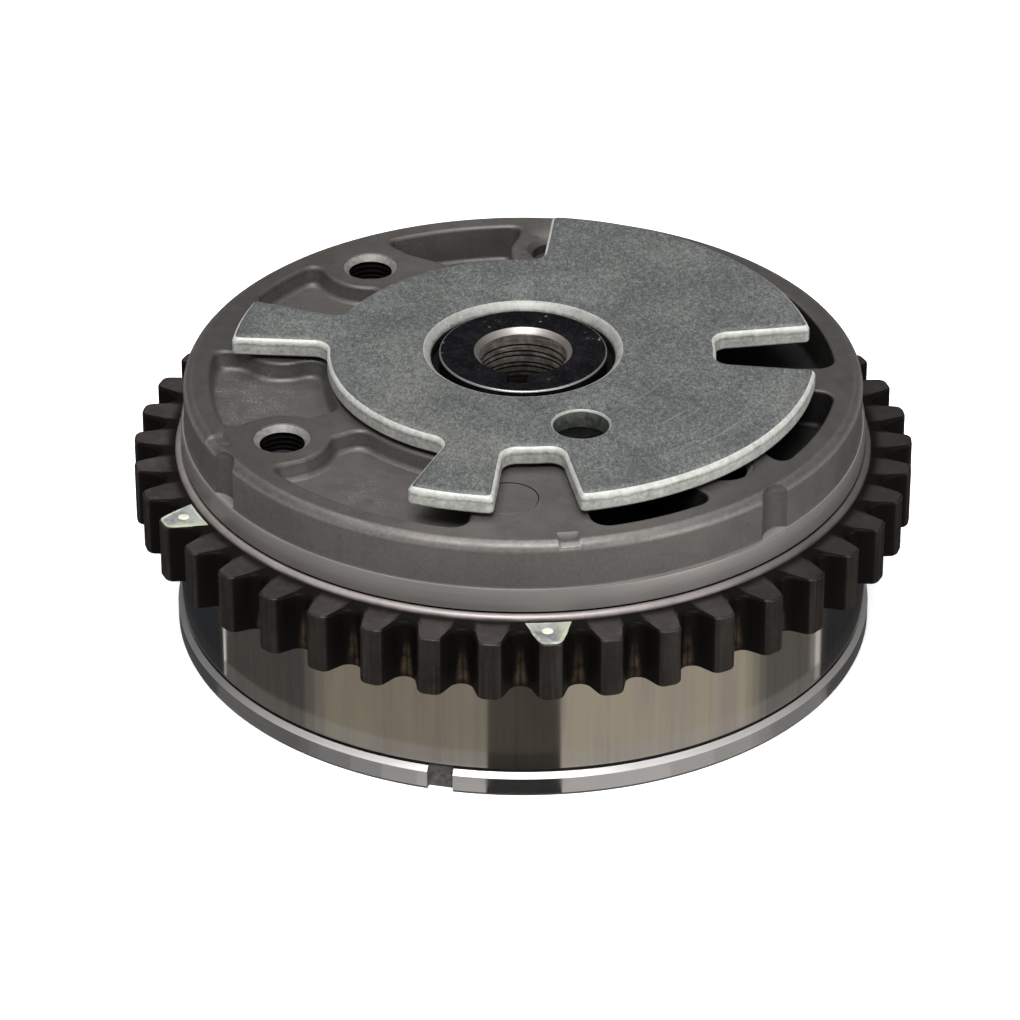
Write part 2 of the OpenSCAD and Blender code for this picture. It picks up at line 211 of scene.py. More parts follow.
def grad(f, p, h=0.02):
    g = np.stack([f(p[:, 0] + h, p[:, 1]) - f(p[:, 0] - h, p[:, 1]), f(p[:, 0], p[:, 1] + h) - f(p[:, 0], p[:, 1] - h)], 1) / (2 * h)
    return g / np.maximum(np.linalg.norm(g, axis=1, keepdims=True), 1e-9)


def to_level(f, p, level, steps=4):
    for _ in range(steps):
        d = f(p[:, 0], p[:, 1]) - level
        p = p - np.clip(d, -0.3, 0.3)[:, None] * grad(f, p)
    return p


class Field:
    def __init__(self, f, half, step=0.3):
        self.f, self.s = f, step
        self.x = np.arange(-half, half + step, step)
        gx, gy = np.meshgrid(self.x, self.x)
        self.g = f(gx, gy)

    def contours(self, level, spacing):
        h = self.g - level
        h[h == 0] = 1e-9
        s = h < 0
        n = s[:-1, :-1].astype(int) + s[:-1, 1:] + s[1:, 1:] + s[1:, :-1]
        link = {}
        for j, i in np.argwhere((n > 0) & (n < 4)):
            a, b, c, d = s[j, i], s[j, i + 1], s[j + 1, i + 1], s[j + 1, i]
            eb, er, et, el = (0, j, i), (1, j, i + 1), (0, j + 1, i), (1, j, i)
            e = [k for k, on in ((eb, a != b), (er, b != c), (et, c != d), (el, d != a)) if on]
            if len(e) == 4:
                mid = h[j:j + 2, i:i + 2].mean() < 0
                pairs = [(eb, er), (et, el)] if mid == a else [(eb, el), (er, et)]
            else:
                pairs = [tuple(e)]
            for p, q in pairs:
                link.setdefault(p, []).append(q)
                link.setdefault(q, []).append(p)

        def point(k):
            o, j, i = k
            if o == 0:
                t = h[j, i] / (h[j, i] - h[j, i + 1])
                return self.x[i] + t * self.s, self.x[j]
            t = h[j, i] / (h[j, i] - h[j + 1, i])
            return self.x[i], self.x[j] + t * self.s

        loops, seen = [], set()
        for start in link:
            if start in seen:
                continue
            walk, now, last = [], start, None
            while now not in seen:
                seen.add(now)
                walk.append(point(now))
                nxt = [q for q in link[now] if q != last and q not in seen]
                last = now
                if not nxt:
                    break
                now = nxt[0]
            p = np.array(walk)
            if len(p) < 8:
                continue
            q = np.vstack([p, p[:1]])
            t = np.concatenate([[0], np.cumsum(np.linalg.norm(np.diff(q, axis=0), axis=1))])
            k = max(12, int(round(t[-1] / spacing)))
            u = np.arange(k) * t[-1] / k
            loops.append(to_level(self.f, np.stack([np.interp(u, t, q[:, 0]), np.interp(u, t, q[:, 1])], 1), level))
        return loops


def fill(loops, keep):
    """Triangles between closed flat loops. Returns points, triangles kept and the loop point that each point comes from."""
    pts, edges, base = np.vstack(loops), [], 0
    for lp in loops:
        k = len(lp)
        edges += [(base + i, base + (i + 1) % k) for i in range(k)]
        base += k
    vs, _, fs, ov, _, _ = delaunay_2d_cdt([Vector((float(p[0]), float(p[1]))) for p in pts], edges, [], 0, 1e-6)
    v = np.array([(p[0], p[1]) for p in vs])
    f = np.array([list(q) for q in fs])
    c = v[f].mean(1)
    return v, f[keep(c[:, 0], c[:, 1])], np.array([o[0] if len(o) else -1 for o in ov])


# ---------------------------------------------------------------- materials
class Mat:
    """A Principled material with a few shorthands for procedural nodes in object space."""

    def __init__(self, name, **sockets):
        self.m = bpy.data.materials.new(name)
        self.m.use_nodes = True
        self.nt = self.m.node_tree
        self.b = next(n for n in self.nt.nodes if n.type == "BSDF_PRINCIPLED")
        for k, v in sockets.items():
            self.b.inputs[k.replace("_", " ")].default_value = v
        self.tc = self.nt.nodes.new("ShaderNodeTexCoord")
        self.obj = self.tc.outputs["Object"]

    def new(self, kind, **props):
        n = self.nt.nodes.new(kind)
        for k, v in props.items():
            setattr(n, k, v)
        return n

    def put(self, sock, val):
        if isinstance(val, bpy.types.NodeSocket):
            self.nt.links.new(val, sock)
        else:
            sock.default_value = val

    def scaled(self, sx, sy, sz, src=None):
        n = self.new("ShaderNodeMapping")
        n.inputs["Scale"].default_value = (sx, sy, sz)
        self.put(n.inputs["Vector"], src or self.obj)
        return n.outputs["Vector"]

    def noise(self, scale, detail=4.0, rough=0.55, vec=None, distort=0.0):
        n = self.new("ShaderNodeTexNoise")
        self.put(n.inputs["Vector"], vec or self.obj)
        n.inputs["Scale"].default_value = scale
        n.inputs["Detail"].default_value = detail
        n.inputs["Roughness"].default_value = rough
        n.inputs["Distortion"].default_value = distort
        return n.outputs["Fac"]

    def voronoi(self, scale, vec=None, feature="F1", randomness=1.0):
        n = self.new("ShaderNodeTexVoronoi", feature=feature)
        self.put(n.inputs["Vector"], vec or self.obj)
        n.inputs["Scale"].default_value = scale
        n.inputs["Randomness"].default_value = randomness
        return n

    def ramp(self, fac, stops, interp="LINEAR"):
        n = self.new("ShaderNodeValToRGB")
        r = n.color_ramp
        r.interpolation = interp
        while len(r.elements) < len(stops):
            r.elements.new(0.5)
        for e, (p, c) in zip(r.elements, stops):
            e.position = p
            e.color = tuple(c) + (1.0,) if len(c) == 3 else c
        self.put(n.inputs["Fac"], fac)
        return n.outputs["Color"]

    def math(self, op, a, b=0.0, c=0.0, clamp=False):
        n = self.new("ShaderNodeMath", operation=op, use_clamp=clamp)
        for s, v in zip(n.inputs, (a, b, c)):
            self.put(s, v)
        return n.outputs[0]

    def span(self, v, a, b, lo=0.0, hi=1.0, smooth=False):
        n = self.new("ShaderNodeMapRange", clamp=True)
        if smooth:
            n.interpolation_type = "SMOOTHSTEP"
        self.put(n.inputs["Value"], v)
        for k, q in (("From Min", a), ("From Max", b), ("To Min", lo), ("To Max", hi)):
            n.inputs[k].default_value = q
        return n.outputs["Result"]

    def mix(self, fac, a, b, blend="MIX"):
        n = self.new("ShaderNodeMix", data_type="RGBA", blend_type=blend)
        self.put(n.inputs[0], fac)
        for s, v in ((n.inputs[6], a), (n.inputs[7], b)):
            self.put(s, v if isinstance(v, bpy.types.NodeSocket) else tuple(v) + (1.0,))
        return n.outputs[2]

    def xyz(self):
        n = self.new("ShaderNodeSeparateXYZ")
        self.put(n.inputs[0], self.obj)
        return n.outputs[0], n.outputs[1], n.outputs[2]

    def polar(self):
        """Radius and angle round the turning axis."""
        x, y, z = self.xyz()
        r = self.math("SQRT", self.math("ADD", self.math("MULTIPLY", x, x), self.math("MULTIPLY", y, y)))
        return r, self.math("ARCTAN2", y, x), z

    def vec(self, x, y, z):
        n = self.new("ShaderNodeCombineXYZ")
        for s, v in zip(n.inputs, (x, y, z)):
            self.put(s, v)
        return n.outputs[0]

    def near(self, x, y, z, r0, r1):
        """1 within r0 metres of a point, 0 beyond r1."""
        n = self.new("ShaderNodeVectorMath", operation="DISTANCE")
        self.put(n.inputs[0], self.obj)
        n.inputs[1].default_value = (x, y, z)
        return self.span(n.outputs["Value"], r0, r1, 1.0, 0.0, True)

    def bump(self, height, strength, dist, prev=None):
        n = self.new("ShaderNodeBump")
        n.inputs["Strength"].default_value = strength
        n.inputs["Distance"].default_value = dist
        self.put(n.inputs["Height"], height)
        if prev is not None:
            self.put(n.inputs["Normal"], prev)
        return n.outputs["Normal"]

    def out(self, color=None, rough=None, normal=None, metal=None):
        for k, v in (("Base Color", color), ("Roughness", rough), ("Normal", normal), ("Metallic", metal)):
            if v is not None:
                self.put(self.b.inputs[k], v)
        return self.m


def sintered(name, dark, light, pocket_shade=0.0):
    m = Mat(name, Metallic=0.55, Specular_IOR_Level=0.4)
    r, a, z = m.polar()
    grain = m.noise(2600, 3, 0.6)
    patch = m.noise(95, 5, 0.6)
    pores = m.noise(900, 2, 0.5)
    c = m.ramp(patch, [(0.3, dark), (0.72, light)])
    c = m.mix(m.span(grain, 0.35, 0.7, 0.0, 0.32), c, [q * 1.45 for q in light])
    c = m.mix(m.span(pores, 0.58, 0.72, 0.0, 0.2), c, [q * 0.6 for q in dark])
    # the rim is brighter along its rounded edge: partly rub wear, partly a painted highlight
    rub_and_highlight = m.math("MULTIPLY", m.span(r, 0.0449, 0.0453, 0.0, 1.0, True), m.span(z, 0.0363, 0.0367, 0.0, 1.0, True))
    rub_and_highlight = m.math("MULTIPLY", rub_and_highlight, m.span(m.noise(300, 3, 0.6), 0.25, 0.6, 0.55, 1.0))
    rub_and_highlight = m.math("MULTIPLY", rub_and_highlight, m.span(m.noise(1500, 4, 0.7), 0.34, 0.64, 0.25, 1.0))
    c = m.mix(m.math("MULTIPLY", rub_and_highlight, 0.46), c, [q * 2.2 for q in light])
    # painted shade on the outer flats, darker towards left and right
    x, y, z = m.xyz()
    flat = m.span(z, 0.0364, 0.0374, 0.0, 1.0, True)
    side_shade = m.math("MULTIPLY", m.span(m.math("ABSOLUTE", x), 0.008, 0.04, 0.0, 0.46, True), flat)
    # apply the side shade, then a dark painted shadow on the flat under the trigger wheel
    c = m.mix(side_shade, c, [q * 0.42 for q in dark])
    c = m.mix(m.math("MULTIPLY", m.span(r, 0.0262, 0.0232, 0.0, 0.97, True), flat), c, (0.003, 0.0028, 0.0026))
    # dusty, rubbed places on the left floors
    speck = m.math("MULTIPLY", m.span(m.noise(3400, 3, 0.6, m.scaled(1, 0.7, 1)), 0.47, 0.66, 0.0, 1.0, True), m.span(m.noise(420, 4, 0.65), 0.42, 0.62, 0.1, 1.0, True))
    where = m.math("MAXIMUM", m.near(-0.0385, -0.0035, 0.0352, 0.003, 0.0115), m.math("MULTIPLY", m.near(-0.0215, -0.0300, 0.0352, 0.001, 0.0085), 0.7))
    where = m.math("MULTIPLY", where, m.span(z, 0.0367, 0.0360, 0.0, 1.0, True))
    c = m.mix(m.math("MULTIPLY", m.math("MULTIPLY", speck, where), 0.5), c, (0.27, 0.256, 0.24))
    # painted shade in the deep pockets, darker towards the right
    if pocket_shade:
        x, y, z = m.xyz()
        c = m.mix(m.span(x, -0.002, 0.007, pocket_shade * 0.1, pocket_shade, True), c, (0.006, 0.0056, 0.0053))
    rough = m.span(m.noise(420, 3, 0.6), 0.3, 0.7, 0.42, 0.54)
    n = m.bump(grain, 0.13, 0.00006)
    n = m.bump(pores, 0.06, 0.0001, n)
    return m.out(c, rough, n)


def turned(name, dark, light, rough, lines=5200, metal=1.0, depth=0.00001):
    """Machined steel with fine rings round the axis."""
    m = Mat(name, Metallic=metal)
    r, a, z = m.polar()
    band = m.noise(1.0, 3, 0.6, m.vec(m.math("MULTIPLY", r, lines), m.math("MULTIPLY", a, 1.5), m.math("MULTIPLY", z, lines)))
    patch = m.noise(70, 4, 0.6)
    c = m.ramp(m.math("ADD", m.math("MULTIPLY", band, 0.55), m.math("MULTIPLY", patch, 0.45)), [(0.35, dark), (0.68, light)])
    n = m.bump(band, 0.25, depth)
    return m.out(c, m.span(patch, 0.3, 0.7, rough - 0.04, rough + 0.05), n)


def chamfer_mat():
    """Turned edge of the rear plate, darker on both sides as painted shade."""
    m = Mat("plate_chamfer", Metallic=0.25)
    r, a, z = m.polar()
    band = m.noise(1.0, 3, 0.6, m.vec(m.math("MULTIPLY", r, 6200.0), m.math("MULTIPLY", a, 1.5), m.math("MULTIPLY", z, 6200.0)))
    patch = m.noise(70, 4, 0.6)
    c = m.ramp(m.math("ADD", m.math("MULTIPLY", band, 0.55), m.math("MULTIPLY", patch, 0.45)), [(0.35, (0.36, 0.345, 0.338)), (0.68, (0.47, 0.455, 0.447))])
    x, y, z = m.xyz()
    # painted shade, darker towards left and right
    c = m.mix(m.span(m.math("ABSOLUTE", x), 0.018, 0.044, 0.0, 0.7, True), c, (0.13, 0.125, 0.122))
    return m.out(c, m.span(patch, 0.3, 0.7, 0.28, 0.37), m.bump(band, 0.25, 0.00001))


def zinc_top():
    m = Mat("zinc_top", Metallic=0.3, Specular_IOR_Level=0.4)
    r, a, z = m.polar()
    fine = m.noise(3300, 4, 0.75, m.scaled(1, 0.66, 1))
    mid = m.noise(1300, 4, 0.65, m.scaled(1, 0.66, 1), 0.2)
    cloud = m.noise(95, 4, 0.55)
    v = m.math("ADD", m.math("MULTIPLY", fine, 0.6), m.math("ADD", m.math("MULTIPLY", mid, 0.22), m.math("MULTIPLY", cloud, 0.18)))
    c = m.ramp(v, [(0.39, (0.036, 0.0405, 0.0398)), (0.5, (0.078, 0.0832, 0.08)), (0.61, (0.15, 0.1575, 0.149))])
    # faint rings round the axis, clearer at the front right
    rings = m.noise(1.0, 3, 0.65, m.vec(m.math("MULTIPLY", r, 1500.0), m.math("MULTIPLY", a, 0.9), 0.0))
    here = m.math("ADD", 0.16, m.math("MULTIPLY", m.near(0.021, -0.023, 0.041, 0.004, 0.017), 0.3))
    pale = m.math("MULTIPLY", m.span(rings, 0.6, 0.72, 0.0, 1.0, True), here)
    c = m.mix(pale, c, (0.2, 0.21, 0.2))
    deep = m.math("MULTIPLY", m.span(rings, 0.4, 0.3, 0.0, 1.0, True), here)
    c = m.mix(deep, c, (0.04, 0.043, 0.045))
    # warm, worn tint in places
    c = m.mix(m.math("MULTIPLY", m.span(m.noise(45, 3, 0.5), 0.54, 0.7), 0.1), c, (0.2, 0.16, 0.12))
    rough = m.span(fine, 0.3, 0.7, 0.48, 0.62)
    n = m.bump(fine, 0.25, 0.00004)
    n = m.bump(mid, 0.08, 0.00008, n)
    return m.out(c, rough, n)


def zinc_edge(name, tone):
    """Sheared edge: smooth and bright at the top, torn and greyer in the middle, a thin bright line below."""
    m = Mat(name, Metallic=0.2, Specular_IOR_Level=0.45)
    x, y, z = m.xyz()
    fine = m.noise(1700, 4, 0.7)
    drag = m.noise(520, 3, 0.6, m.scaled(1, 1, 0.35))
    v = m.math("ADD", m.math("MULTIPLY", fine, 0.6), m.math("MULTIPLY", drag, 0.4))
    torn = m.ramp(v, [(p, (q * tone, q * 1.02 * tone, q * 0.935 * tone)) for p, q in ((0.36, 0.19), (0.5, 0.305), (0.64, 0.42))])
    bright = m.ramp(v, [(p, (q * tone, q * 1.015 * tone, q * 0.94 * tone)) for p, q in ((0.36, 0.27), (0.64, 0.42))])
    wave = m.math("ADD", z, m.math("MULTIPLY", m.math("SUBTRACT", drag, 0.5), 0.0009))
    top = m.span(wave, 0.03985, 0.0402, 0.0, 1.0, True)
    low = m.span(wave, 0.0388, 0.03855, 0.0, 0.85, True)
    c = m.mix(m.math("MAXIMUM", top, low), torn, bright)
    line = m.math("MULTIPLY", m.span(wave, 0.03962, 0.03978, 0.0, 1.0, True), m.span(wave, 0.04004, 0.03988, 0.0, 1.0, True))
    c = m.mix(m.math("MULTIPLY", line, 0.35), c, (0.07, 0.072, 0.064))
    n = m.bump(fine, 0.35, 0.00005)
    n = m.bump(drag, 0.2, 0.00008, n)
    return m.out(c, m.span(fine, 0.3, 0.7, 0.4, 0.58), n)


def teeth_mat(name, dark, light, top=False):
    m = Mat(name)
    r, a, z = m.polar()
    fine = m.noise(900, 4, 0.6)
    cloud = m.noise(140, 4, 0.6)
    c = m.ramp(cloud, [(0.3, dark), (0.7, light)])
    c = m.mix(m.span(fine, 0.5, 0.75, 0.0, 0.4), c, [q * 2.0 for q in light])
    # t is 0 in the middle of a gap and 0.5 in the middle of a tooth
    turn = m.math("MULTIPLY_ADD", a, TEETH / (2 * math.pi), 0.0 - TOOTH_A / 360 * TEETH)
    t = m.math("ABSOLUTE", m.math("SUBTRACT", m.math("FRACT", turn), 0.5))
    # soot and painted shade darken the gaps and the ring between them, and dull their sheen
    if top:
        soot_and_shade = m.math("MULTIPLY", m.span(t, 0.29, 0.17, 0.0, 1.0, True), m.span(r, 0.0516, 0.0505, 0.0, 0.93, True))
        soot_and_shade = m.math("MAXIMUM", soot_and_shade, m.span(r, 0.0496, 0.0482, 0.0, 0.85, True))
    else:
        scratch = m.noise(1.0, 3, 0.65, m.vec(m.math("MULTIPLY", a, 150.0), 0.0, m.math("MULTIPLY", z, 70.0)))
        c = m.mix(m.span(scratch, 0.5, 0.72, 0.0, 0.6), c, [q * 2.6 for q in light])
        soot_and_shade = m.math("MAXIMUM", m.span(r, 0.05335, 0.0524, 0.0, 0.96, True), m.span(t, 0.338, 0.298, 0.0, 0.93, True))
    x, y, z = m.xyz()
    # painted shade, darker towards the right side
    c = m.mix(m.span(x, 0.012, 0.046, 0.0, 0.55 if top else 0.4, True), c, [q * 0.45 for q in dark])
    # soot and painted shade over the gaps
    c = m.mix(soot_and_shade, c, (0.0028, 0.0024, 0.002))
    if not top:
        # a pair of painted brown reflections low in each gap, like a flame
        w = m.math("DIVIDE", t, m.span(z, 0.0252, 0.0192, 0.45, 1.15))
        reflection_streaks = m.math("MULTIPLY", m.span(w, 0.0, 0.045, 0.3, 1.0, True), m.span(w, 0.13, 0.03, 0.0, 1.0, True))
        reflection_streaks = m.math("MULTIPLY", reflection_streaks, m.math("MULTIPLY", m.span(z, 0.0252, 0.0208, 0.0, 1.0, True), m.span(z, 0.0185, 0.0195, 0.45, 1.0, True)))
        reflection_streaks = m.math("MULTIPLY", reflection_streaks, m.span(r, 0.0514, 0.0506, 0.0, 1.0, True))
        reflection_streaks = m.math("MULTIPLY", reflection_streaks, m.span(m.noise(520, 3, 0.65), 0.36, 0.62, 0.15, 1.0))
        c = m.mix(m.math("MULTIPLY", reflection_streaks, 0.5), c, (0.075, 0.05, 0.03))
    m.put(m.b.inputs["Specular IOR Level"], m.span(soot_and_shade, 0.0, 0.9, 0.3, 0.03))
    n = m.bump(fine, 0.15, 0.00004)
    return m.out(c, m.span(cloud, 0.3, 0.7, 0.34, 0.46), n, m.span(soot_and_shade, 0.0, 0.9, 0.3, 0.0))


def lip_mat():
    """Bright on its crest, with painted shade darkening its lower half towards the teeth and its right side."""
    m = Mat("sprocket_lip", Metallic=0.6)
    r, a, z = m.polar()
    band = m.noise(1.0, 3, 0.6, m.vec(m.math("MULTIPLY", r, 4600.0), m.math("MULTIPLY", a, 2.0), m.math("MULTIPLY", z, 4600.0)))
    patch = m.noise(150, 4, 0.6)
    c = m.ramp(m.math("ADD", m.math("MULTIPLY", band, 0.4), m.math("MULTIPLY", patch, 0.6)), [(0.35, (0.2, 0.178, 0.169)), (0.66, (0.31, 0.279, 0.266))])
    wave = m.math("ADD", z, m.math("MULTIPLY", m.math("SUBTRACT", patch, 0.5), 0.0005))
    # painted shade on the lower half of the bead
    c = m.mix(m.span(wave, 0.0273, 0.0269, 0.0, 0.9, True), c, (0.018, 0.016, 0.015))
    x, y, z = m.xyz()
    # painted shade, darker towards the right side
    c = m.mix(m.span(x, 0.008, 0.042, 0.0, 0.72, True), c, (0.05, 0.0455, 0.043))
    return m.out(c, m.span(patch, 0.3, 0.7, 0.42, 0.54), m.bump(band, 0.2, 0.00001))


def drum_mat():
    m = Mat("polished_drum", Metallic=1.0)
    r, a, z = m.polar()
    streak = m.noise(1.0, 3, 0.55, m.vec(m.math("MULTIPLY", a, 38.0), 0.0, m.math("MULTIPLY", z, 18.0)))
    haze = m.noise(75, 3, 0.5)
    c = m.ramp(m.math("ADD", m.math("MULTIPLY", streak, 0.7), m.math("MULTIPLY", haze, 0.3)),
               [(0.35, (0.53, 0.505, 0.465)), (0.66, (0.63, 0.6, 0.555))])
    hue = m.noise(1.0, 3, 0.6, m.vec(m.math("MULTIPLY", a, 13.0), 4.0, m.math("MULTIPLY", z, 22.0)))
    c = m.mix(m.span(hue, 0.52, 0.64, 0.0, 0.7, True), c, (0.515, 0.465, 0.455))
    c = m.mix(m.span(hue, 0.48, 0.37, 0.0, 0.7, True), c, (0.615, 0.595, 0.495))
    n = m.bump(streak, 0.04, 0.00005)
    return m.out(c, m.span(haze, 0.3, 0.7, 0.085, 0.125), n)


def black_oxide():
    m = Mat("black_oxide", Metallic=0.0, Specular_IOR_Level=0.045)
    cloud = m.noise(380, 4, 0.6)
    fine = m.noise(2100, 3, 0.6)
    c = m.ramp(cloud, [(0.32, (0.0014, 0.0014, 0.0018)), (0.55, (0.0032, 0.0031, 0.0038)), (0.75, (0.008, 0.0075, 0.009))])
    c = m.mix(m.span(fine, 0.5, 0.72, 0.0, 0.6), c, (0.013, 0.012, 0.0145))
    spot = m.math("MULTIPLY", m.span(m.noise(760, 2, 0.6), 0.665, 0.7), m.span(m.noise(210, 2, 0.5), 0.56, 0.62))
    c = m.mix(m.math("MULTIPLY", spot, 0.7), c, (0.2, 0.195, 0.195))
    n = m.bump(fine, 0.15, 0.00004)
    return m.out(c, m.span(cloud, 0.3, 0.7, 0.42, 0.56), n)


def bore_mat():
    """Turned wall of the bolt bore: ragged rings, with painted shade turning it black with depth."""
    m = Mat("turned_bore", Metallic=0.35, Specular_IOR_Level=0.3)
    r, a, z = m.polar()
    band = m.noise(1.0, 4, 0.7, m.vec(m.math("MULTIPLY", a, 2.2), 0.0, m.math("MULTIPLY", z, 2300.0)))
    patch = m.noise(720, 4, 0.65)
    c = m.ramp(m.math("ADD", m.math("MULTIPLY", band, 0.55), m.math("MULTIPLY", patch, 0.45)),
               [(0.36, (0.035, 0.03, 0.026)), (0.5, (0.125, 0.109, 0.095)), (0.64, (0.25, 0.222, 0.198))])
    # painted shade: darker, less shiny and less metallic deeper in the bore
    c = m.mix(m.span(z, 0.0372, 0.0326, 0.0, 0.96, True), c, (0.0022, 0.0019, 0.0017))
    m.put(m.b.inputs["Specular IOR Level"], m.span(z, 0.0326, 0.0372, 0.02, 0.3))
    return m.out(c, m.span(patch, 0.3, 0.7, 0.42, 0.6), m.bump(band, 0.4, 0.00004), m.span(z, 0.0326, 0.0372, 0.0, 0.35))


def plain_steel(name, dark, light, rough, metal=1.0, scale=600, spec=0.5):
    m = Mat(name, Metallic=metal, Specular_IOR_Level=spec)
    fine = m.noise(scale, 4, 0.6)
    c = m.ramp(fine, [(0.32, dark), (0.7, light)])
    return m.out(c, m.span(fine, 0.3, 0.7, rough - 0.05, rough + 0.06), m.bump(fine, 0.12, 0.00004))


def paint_mat(name, low, mid, high, worn):
    m = Mat(name, Metallic=0.0, Specular_IOR_Level=0.4)
    cloud = m.noise(620, 4, 0.6)
    c = m.ramp(cloud, [(0.34, low), (0.5, mid), (0.66, high)])
    # yellower to one side of the tooth, paler towards the ring
    r, a, z = m.polar()
    turn = m.math("MULTIPLY_ADD", a, TEETH / (2 * math.pi), 0.5 - TOOTH_A / 360 * TEETH)
    side = m.math("SUBTRACT", m.math("FRACT", turn), 0.5)
    c = m.mix(m.span(side, 0.04, 0.3, 0.0, 0.6, True), c, (0.34, 0.36, 0.22))
    c = m.mix(m.span(r, 0.0505, 0.0489, 0.0, 0.5, True), c, (0.34, 0.35, 0.31))
    gone = m.span(m.noise(820, 3, 0.6), 0.58, 0.68)
    c = m.mix(m.math("MULTIPLY", gone, worn), c, (0.06, 0.057, 0.055))
    return m.out(c, m.span(cloud, 0.3, 0.7, 0.4, 0.62), m.bump(cloud, 0.3, 0.0001))


M_COVER = sintered("sintered_cover", (0.066, 0.061, 0.0575), (0.094, 0.0875, 0.0825))
# the deep pockets' copy is darker, with painted shade
M_DEEP = sintered("sintered_pocket", (0.059, 0.0548, 0.0513), (0.087, 0.0812, 0.0766), 0.9)
M_PLUG = sintered("sintered_plug", (0.066, 0.061, 0.0565), (0.094, 0.088, 0.082))
M_BAND = turned("cover_band", (0.148, 0.138, 0.131), (0.182, 0.171, 0.163), 0.46, 4200, 0.7, 0.000006)
# the step ledge is far lighter than the band: a painted highlight
M_STEP = turned("step_line", (0.26, 0.243, 0.231), (0.4, 0.376, 0.36), 0.48, 4200, 0.6)
# a darker copy of the cover material for the grooves: painted shade
M_GROOVE = sintered("sintered_groove", (0.05, 0.0462, 0.0435), (0.072, 0.067, 0.063))
M_BORE_RIM = plain_steel("hole_rim", (0.12, 0.112, 0.105), (0.225, 0.212, 0.2), 0.58, 0.4, 1500, 0.4)
# near black: painted shade inside the threaded holes, the plug seat and the key notch, and a dark joint under the band
M_DARK_HOLE = plain_steel("hole_wall", (0.001, 0.0009, 0.0008), (0.0048, 0.0042, 0.0038), 0.7, 0.0, 1600, 0.02)
# the wheel's hole rims take a darker copy of the edge material: painted shade
M_ZTOP, M_ZEDGE, M_ZRIM = zinc_top(), zinc_edge("zinc_edge", 1.0), zinc_edge("zinc_hole_edge", 0.68)
M_ZHOLE = plain_steel("punched_hole", (0.045, 0.05, 0.044), (0.13, 0.138, 0.125), 0.5, 0.3, 900, 0.4)
M_TEETH = teeth_mat("dark_teeth", (0.0064, 0.005, 0.0042), (0.0135, 0.0108, 0.009))
# a lighter copy of the teeth material for the up-facing fronts: painted light
M_TTOP = teeth_mat("tooth_fronts", (0.0225, 0.019, 0.0175), (0.043, 0.0368, 0.0342), True)
M_LIP = lip_mat()
M_DRUM = drum_mat()
# near black: dark joints, and painted shadow on the plate's lower edge and the wheel's central hole wall
M_SEAM_AND_SHADE = plain_steel("seam_and_shade", (0.008, 0.0075, 0.007), (0.022, 0.02, 0.019), 0.6, 0.0, 600, 0.2)
M_PLATE = turned("ground_plate", (0.6, 0.59, 0.58), (0.7, 0.69, 0.68), 0.2, 6200, 1.0)
M_CHAMFER = chamfer_mat()
M_NOTCH = plain_steel("notch_floor", (0.03, 0.028, 0.026), (0.08, 0.074, 0.069), 0.65, 0.1, 1500, 0.2)
M_BLACK = black_oxide()
M_BRIGHT = turned("bright_edge", (0.21, 0.193, 0.184), (0.31, 0.287, 0.274), 0.42, 6000, 0.8)
M_LINE = turned("bush_line", (0.16, 0.155, 0.152), (0.32, 0.31, 0.305), 0.4, 6000, 0.8)
M_BORE = bore_mat()
M_PFILM = paint_mat("paint_film", (0.075, 0.08, 0.088), (0.12, 0.128, 0.134), (0.2, 0.21, 0.205), 0.5)
M_PEDGE = paint_mat("paint_edge", (0.12, 0.127, 0.108), (0.24, 0.248, 0.208), (0.38, 0.39, 0.325), 0.6)
M_PDOT = paint_mat("paint_dot", (0.36, 0.355, 0.28), (0.52, 0.515, 0.41), (0.66, 0.655, 0.54), 0.25)
M_SEAT = plain_steel("seat_ring", (0.0018, 0.0017, 0.0016), (0.006, 0.0057, 0.0054), 0.6, 0.0, 600, 0.06)
M_SCREW = plain_steel("black_screw", (0.02, 0.02, 0.022), (0.055, 0.054, 0.058), 0.42, 0.7)
M_PIN = plain_steel("ground_pin", (0.42, 0.41, 0.4), (0.6, 0.59, 0.575), 0.24)
M_SEAL = plain_steel("seal_plastic", (0.014, 0.014, 0.015), (0.032, 0.032, 0.033), 0.5, 0.0, 300)
M_SPRING = plain_steel("spring_steel", (0.4, 0.39, 0.37), (0.62, 0.6, 0.57), 0.28)
M_ROTOR = sintered("sintered_rotor", (0.12, 0.114, 0.107), (0.2, 0.19, 0.18))

for node, mat in {"clamp_screws": M_SCREW, "dowel_pins": M_PIN, "lock_seat": M_PIN, "stator_seals": M_SEAL,
                  "stator_seal_springs": M_SPRING, "rotor": M_ROTOR, "trigger_seat": M_SEAT, "vane_seals": M_SEAL,
                  "vane_seal_springs": M_SPRING, "lock_cap": M_PIN, "cam_dowel": M_PIN, "lock_pin": M_PIN,
                  "lock_spring": M_SPRING}.items():
    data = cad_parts[node].data
    data.materials.clear()
    data.materials.append(mat)


